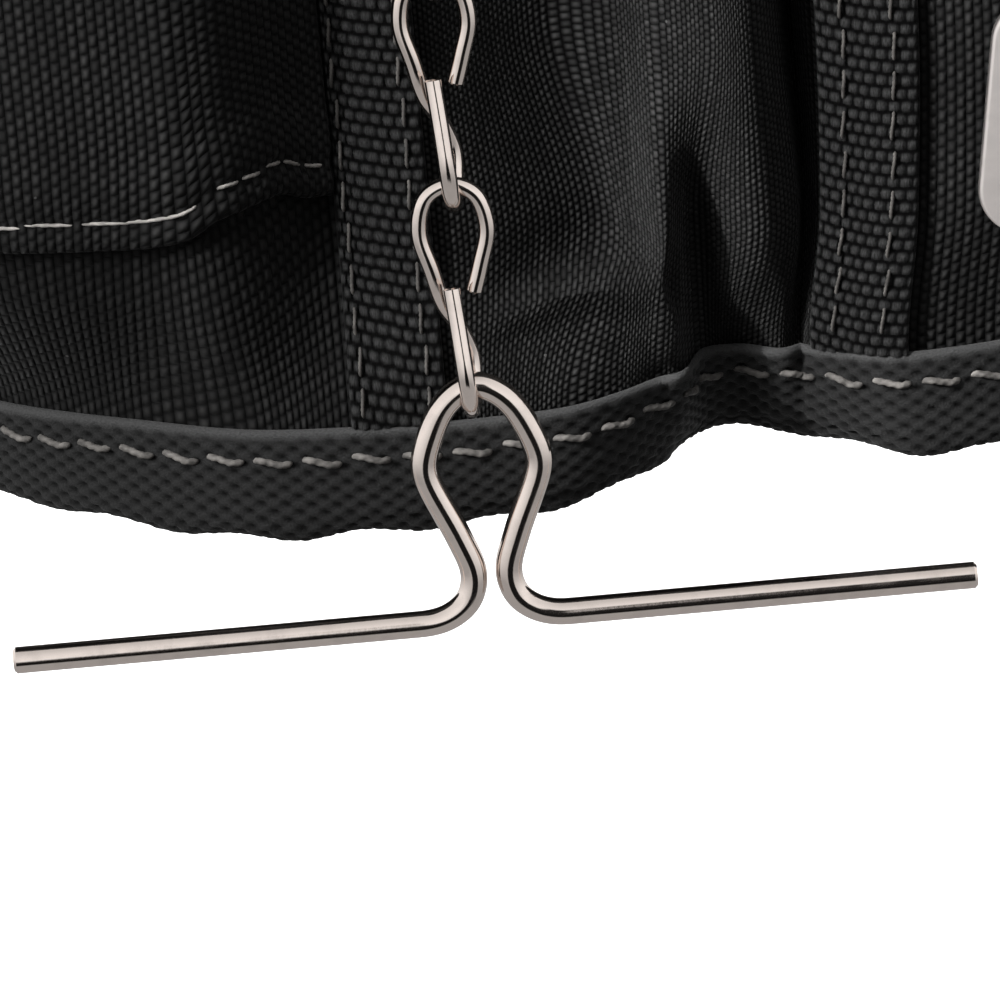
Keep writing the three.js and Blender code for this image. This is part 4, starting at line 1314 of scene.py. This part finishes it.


# Each cloth's dark grey is the painted shade between its yarn floats, its light grey the painted highlight on
# their crowns.
NYLON = woven("ballistic_nylon", column=1.03, row=1.42, dark=0.006, light=0.034, depth=0.3)
SLANTED_NYLON = woven("slanted_nylon", column=1.03, row=1.7, dark=0.005, light=0.028, depth=0.3, shift=0.7)
FINE_NYLON = woven("fine_nylon", column=0.7, row=0.85, dark=0.002, light=0.044, depth=0.25)
# Webbing and tape: their dark grey is painted shade in the pits of the weave, their light grey a painted
# highlight on its lumps and the tape's rim.
WEB = ribbed(
    "webbing", grain=(7.0, 1.6, 1.0), detail=3.0, lumps=(0.3, 0.95), fibre=(0.3, 0.7, 0.35, 1.25),
    tones=(0.0006, 0.034), depth=0.14, strength=0.9,
    Roughness=0.45, Sheen_Weight=0.04, Specular_IOR_Level=0.05,
)
TAPE = ribbed(
    "binding_tape", grain=(3.2, 4.5, 1.0), detail=4.0, lumps=(0.1, RIM_PAINTED_HIGHLIGHT), fibre=(0.25, 0.75, 0.6, 1.15),
    tones=(0.002, 0.062), depth=0.18, strength=0.8,
    Roughness=0.6, Sheen_Weight=0.05, Specular_IOR_Level=0.08,
)
THREAD_GREY = thread("thread_grey", dark=0.06, light=0.2)
THREAD_CREAM = thread("thread_cream", dark=0.2, light=0.44)
THREAD_DARK = thread("thread_dark", dark=0.04, light=0.1)
NICKEL = metal("nickel_wire", (0.74, 0.655, 0.605), smooth=0.07, rough=0.16)
SATIN = metal("satin_plate", (0.97, 0.91, 0.88), smooth=0.52, rough=0.6)


# Stage

def make_floor():
    """Pale floor that shows white to the camera and leaves the light on the pouch to the lamps."""
    t = Tree(bpy.data.materials.new("pale_floor"))
    t.set(Base_Color=(0.9, 0.9, 0.9, 1), Roughness=0.9, Specular_IOR_Level=0.0)
    t.set(Emission_Color=(1, 1, 1, 1), Emission_Strength=0.9)
    z = (FOOT_Z - FLOOR_DROP) * MM
    corners = [(x * FLOOR_HALF, y * FLOOR_HALF, z) for x, y in ((-1, -1), (1, -1), (1, 1), (-1, 1))]
    mesh = bpy.data.meshes.new("floor")
    mesh.from_pydata(corners, [], [[0, 1, 2, 3]])
    mesh.materials.append(t.material)
    floor = add_object("floor", mesh)
    floor.visible_diffuse = False
    floor.visible_glossy = False


def add_lamp(name, kind, turn, rise, aim, energy):
    """Hang a lamp at a turn to the right of the front and at a rise, pointing at a place on the pouch."""
    around = math.radians(turn)
    up = math.radians(rise)
    way = Vector((math.sin(around) * math.cos(up), -math.cos(around) * math.cos(up), math.sin(up)))
    lamp = bpy.data.lights.new(name, kind)
    lamp.energy = energy
    hung = add_object(name, lamp)
    hung.location = Vector(aim) * MM + way * LAMP_DISTANCE
    hung.rotation_euler = (-way).to_track_quat("-Z", "Y").to_euler()
    hung.visible_camera = False
    hung.visible_glossy = False
    return lamp


def radians(degrees):
    return [math.radians(value) for value in degrees]


def make_world():
    """Studio round the pouch: even for cloth; for gloss a pale room with a dark gap on the camera's side."""
    world = bpy.data.worlds.new("studio")
    t = Tree(world, "Background")
    bpy.context.scene.world = world
    way = t.add("SeparateXYZ", {"Vector": t.add("TexCoord").outputs["Generated"]}).outputs
    turn = t.math("ARCTAN2", way["X"], t.times(way["Y"], -1.0))
    rise = t.math("ARCSINE", way["Z"])
    low = t.ramp(rise, *radians(ROOM_LOW_RISE), *ROOM_LOW)
    room = t.times(low, t.ramp(rise, *radians(ROOM_TOP_RISE), *ROOM_TOP))
    half = t.ramp(rise, *radians(GAP_HALF_RISE), *radians(GAP_HALF))
    aside = t.math("ABSOLUTE", t.minus(turn, math.radians(GAP_TURN)))
    outside = t.ease(t.minus(aside, half), *radians(GAP_EDGE))
    below = t.minus(1.0, t.ease(rise, *radians(GAP_FLOOR_RISE)))
    above = t.ease(rise, *radians(GAP_TOP_RISE))
    lit = t.math("MAXIMUM", outside, t.math("MAXIMUM", below, above))
    gloss = t.times(room, t.ramp(lit, 0.0, 1.0, GAP_DARK, 1.0))
    rays = t.add("LightPath").outputs
    cloth = t.math("MAXIMUM", rays["Is Camera Ray"], AMBIENT)
    share = rays["Is Glossy Ray"]
    strength = t.math("ADD", t.times(share, gloss), t.times(t.minus(1.0, share), cloth))
    t.set(Strength=strength, Color=(1, 1, 1, 1))


def make_lights():
    """Soft boxes for all of the pouch, and one lamp with a soft round beam."""
    for name, (turn, rise, width, height, radiance) in SOFTBOXES.items():
        energy = radiance * math.pi * width * height
        lamp = add_lamp(name, "AREA", turn, rise, CAMERA_AIM, energy)
        lamp.shape = "RECTANGLE"
        lamp.size = width
        lamp.size_y = height
    energy = POOL_EXPOSURE * (2 * math.pi * LAMP_DISTANCE) ** 2
    lamp = add_lamp("right_pool", "SPOT", POOL_TURN, POOL_RISE, POOL_AIM, energy)
    lamp.spot_size = 2 * math.atan(POOL_RADIUS * MM / LAMP_DISTANCE)
    lamp.spot_blend = POOL_BLEND
    lamp.shadow_soft_size = POOL_SOFTNESS


def make_camera():
    up_angle = math.radians(CAMERA_ELEVATION)
    lean = math.radians(CAMERA_ROLL)
    back = Vector((0, -math.cos(up_angle), math.sin(up_angle)))
    right = Vector((1, 0, 0))
    up = back.cross(right)
    rolled_right = right * math.cos(lean) - up * math.sin(lean)
    rolled_up = up * math.cos(lean) + right * math.sin(lean)
    data = bpy.data.cameras.new("camera")
    data.sensor_width = SENSOR
    data.lens = SENSOR * CAMERA_DISTANCE * PIXELS_PER_MM / IMAGE_PIXELS
    data.clip_start = 0.05
    data.clip_end = 50
    camera = add_object("camera", data)
    place = Vector(CAMERA_AIM) * MM + back * CAMERA_DISTANCE * MM
    turn = Matrix((rolled_right, rolled_up, back)).transposed().to_4x4()
    camera.matrix_world = Matrix.Translation(place) @ turn
    bpy.context.scene.camera = camera


# The pouch

make_camera()
make_floor()
make_world()
make_lights()
bpy.context.scene.view_settings.view_transform = "Standard"

LEFT_SEAM = FOLD["left strap middle"]
RIGHT_SEAM = FOLD["right strap middle"]
pocket_panel("pocket_left", SLANTED_NYLON, 0, LEFT_SEAM - SEAM_HALF_GAP)
pocket_panel("pocket_center", FINE_NYLON, LEFT_SEAM + SEAM_HALF_GAP, RIGHT_SEAM - SEAM_HALF_GAP)
pocket_panel("pocket_right", NYLON, RIGHT_SEAM + SEAM_HALF_GAP, LAST_FOLD)
patch_pocket()
for strap_name in STRAPS:
    strap(strap_name)
for strap_name in STRAPS:
    strap_stitches(strap_name)
binding_stitches(bottom_binding())
hem_stitches()
main_wall()
base_panel()
back_panel()
belt_tunnel()
chain()
t_bar()
tape_clip()
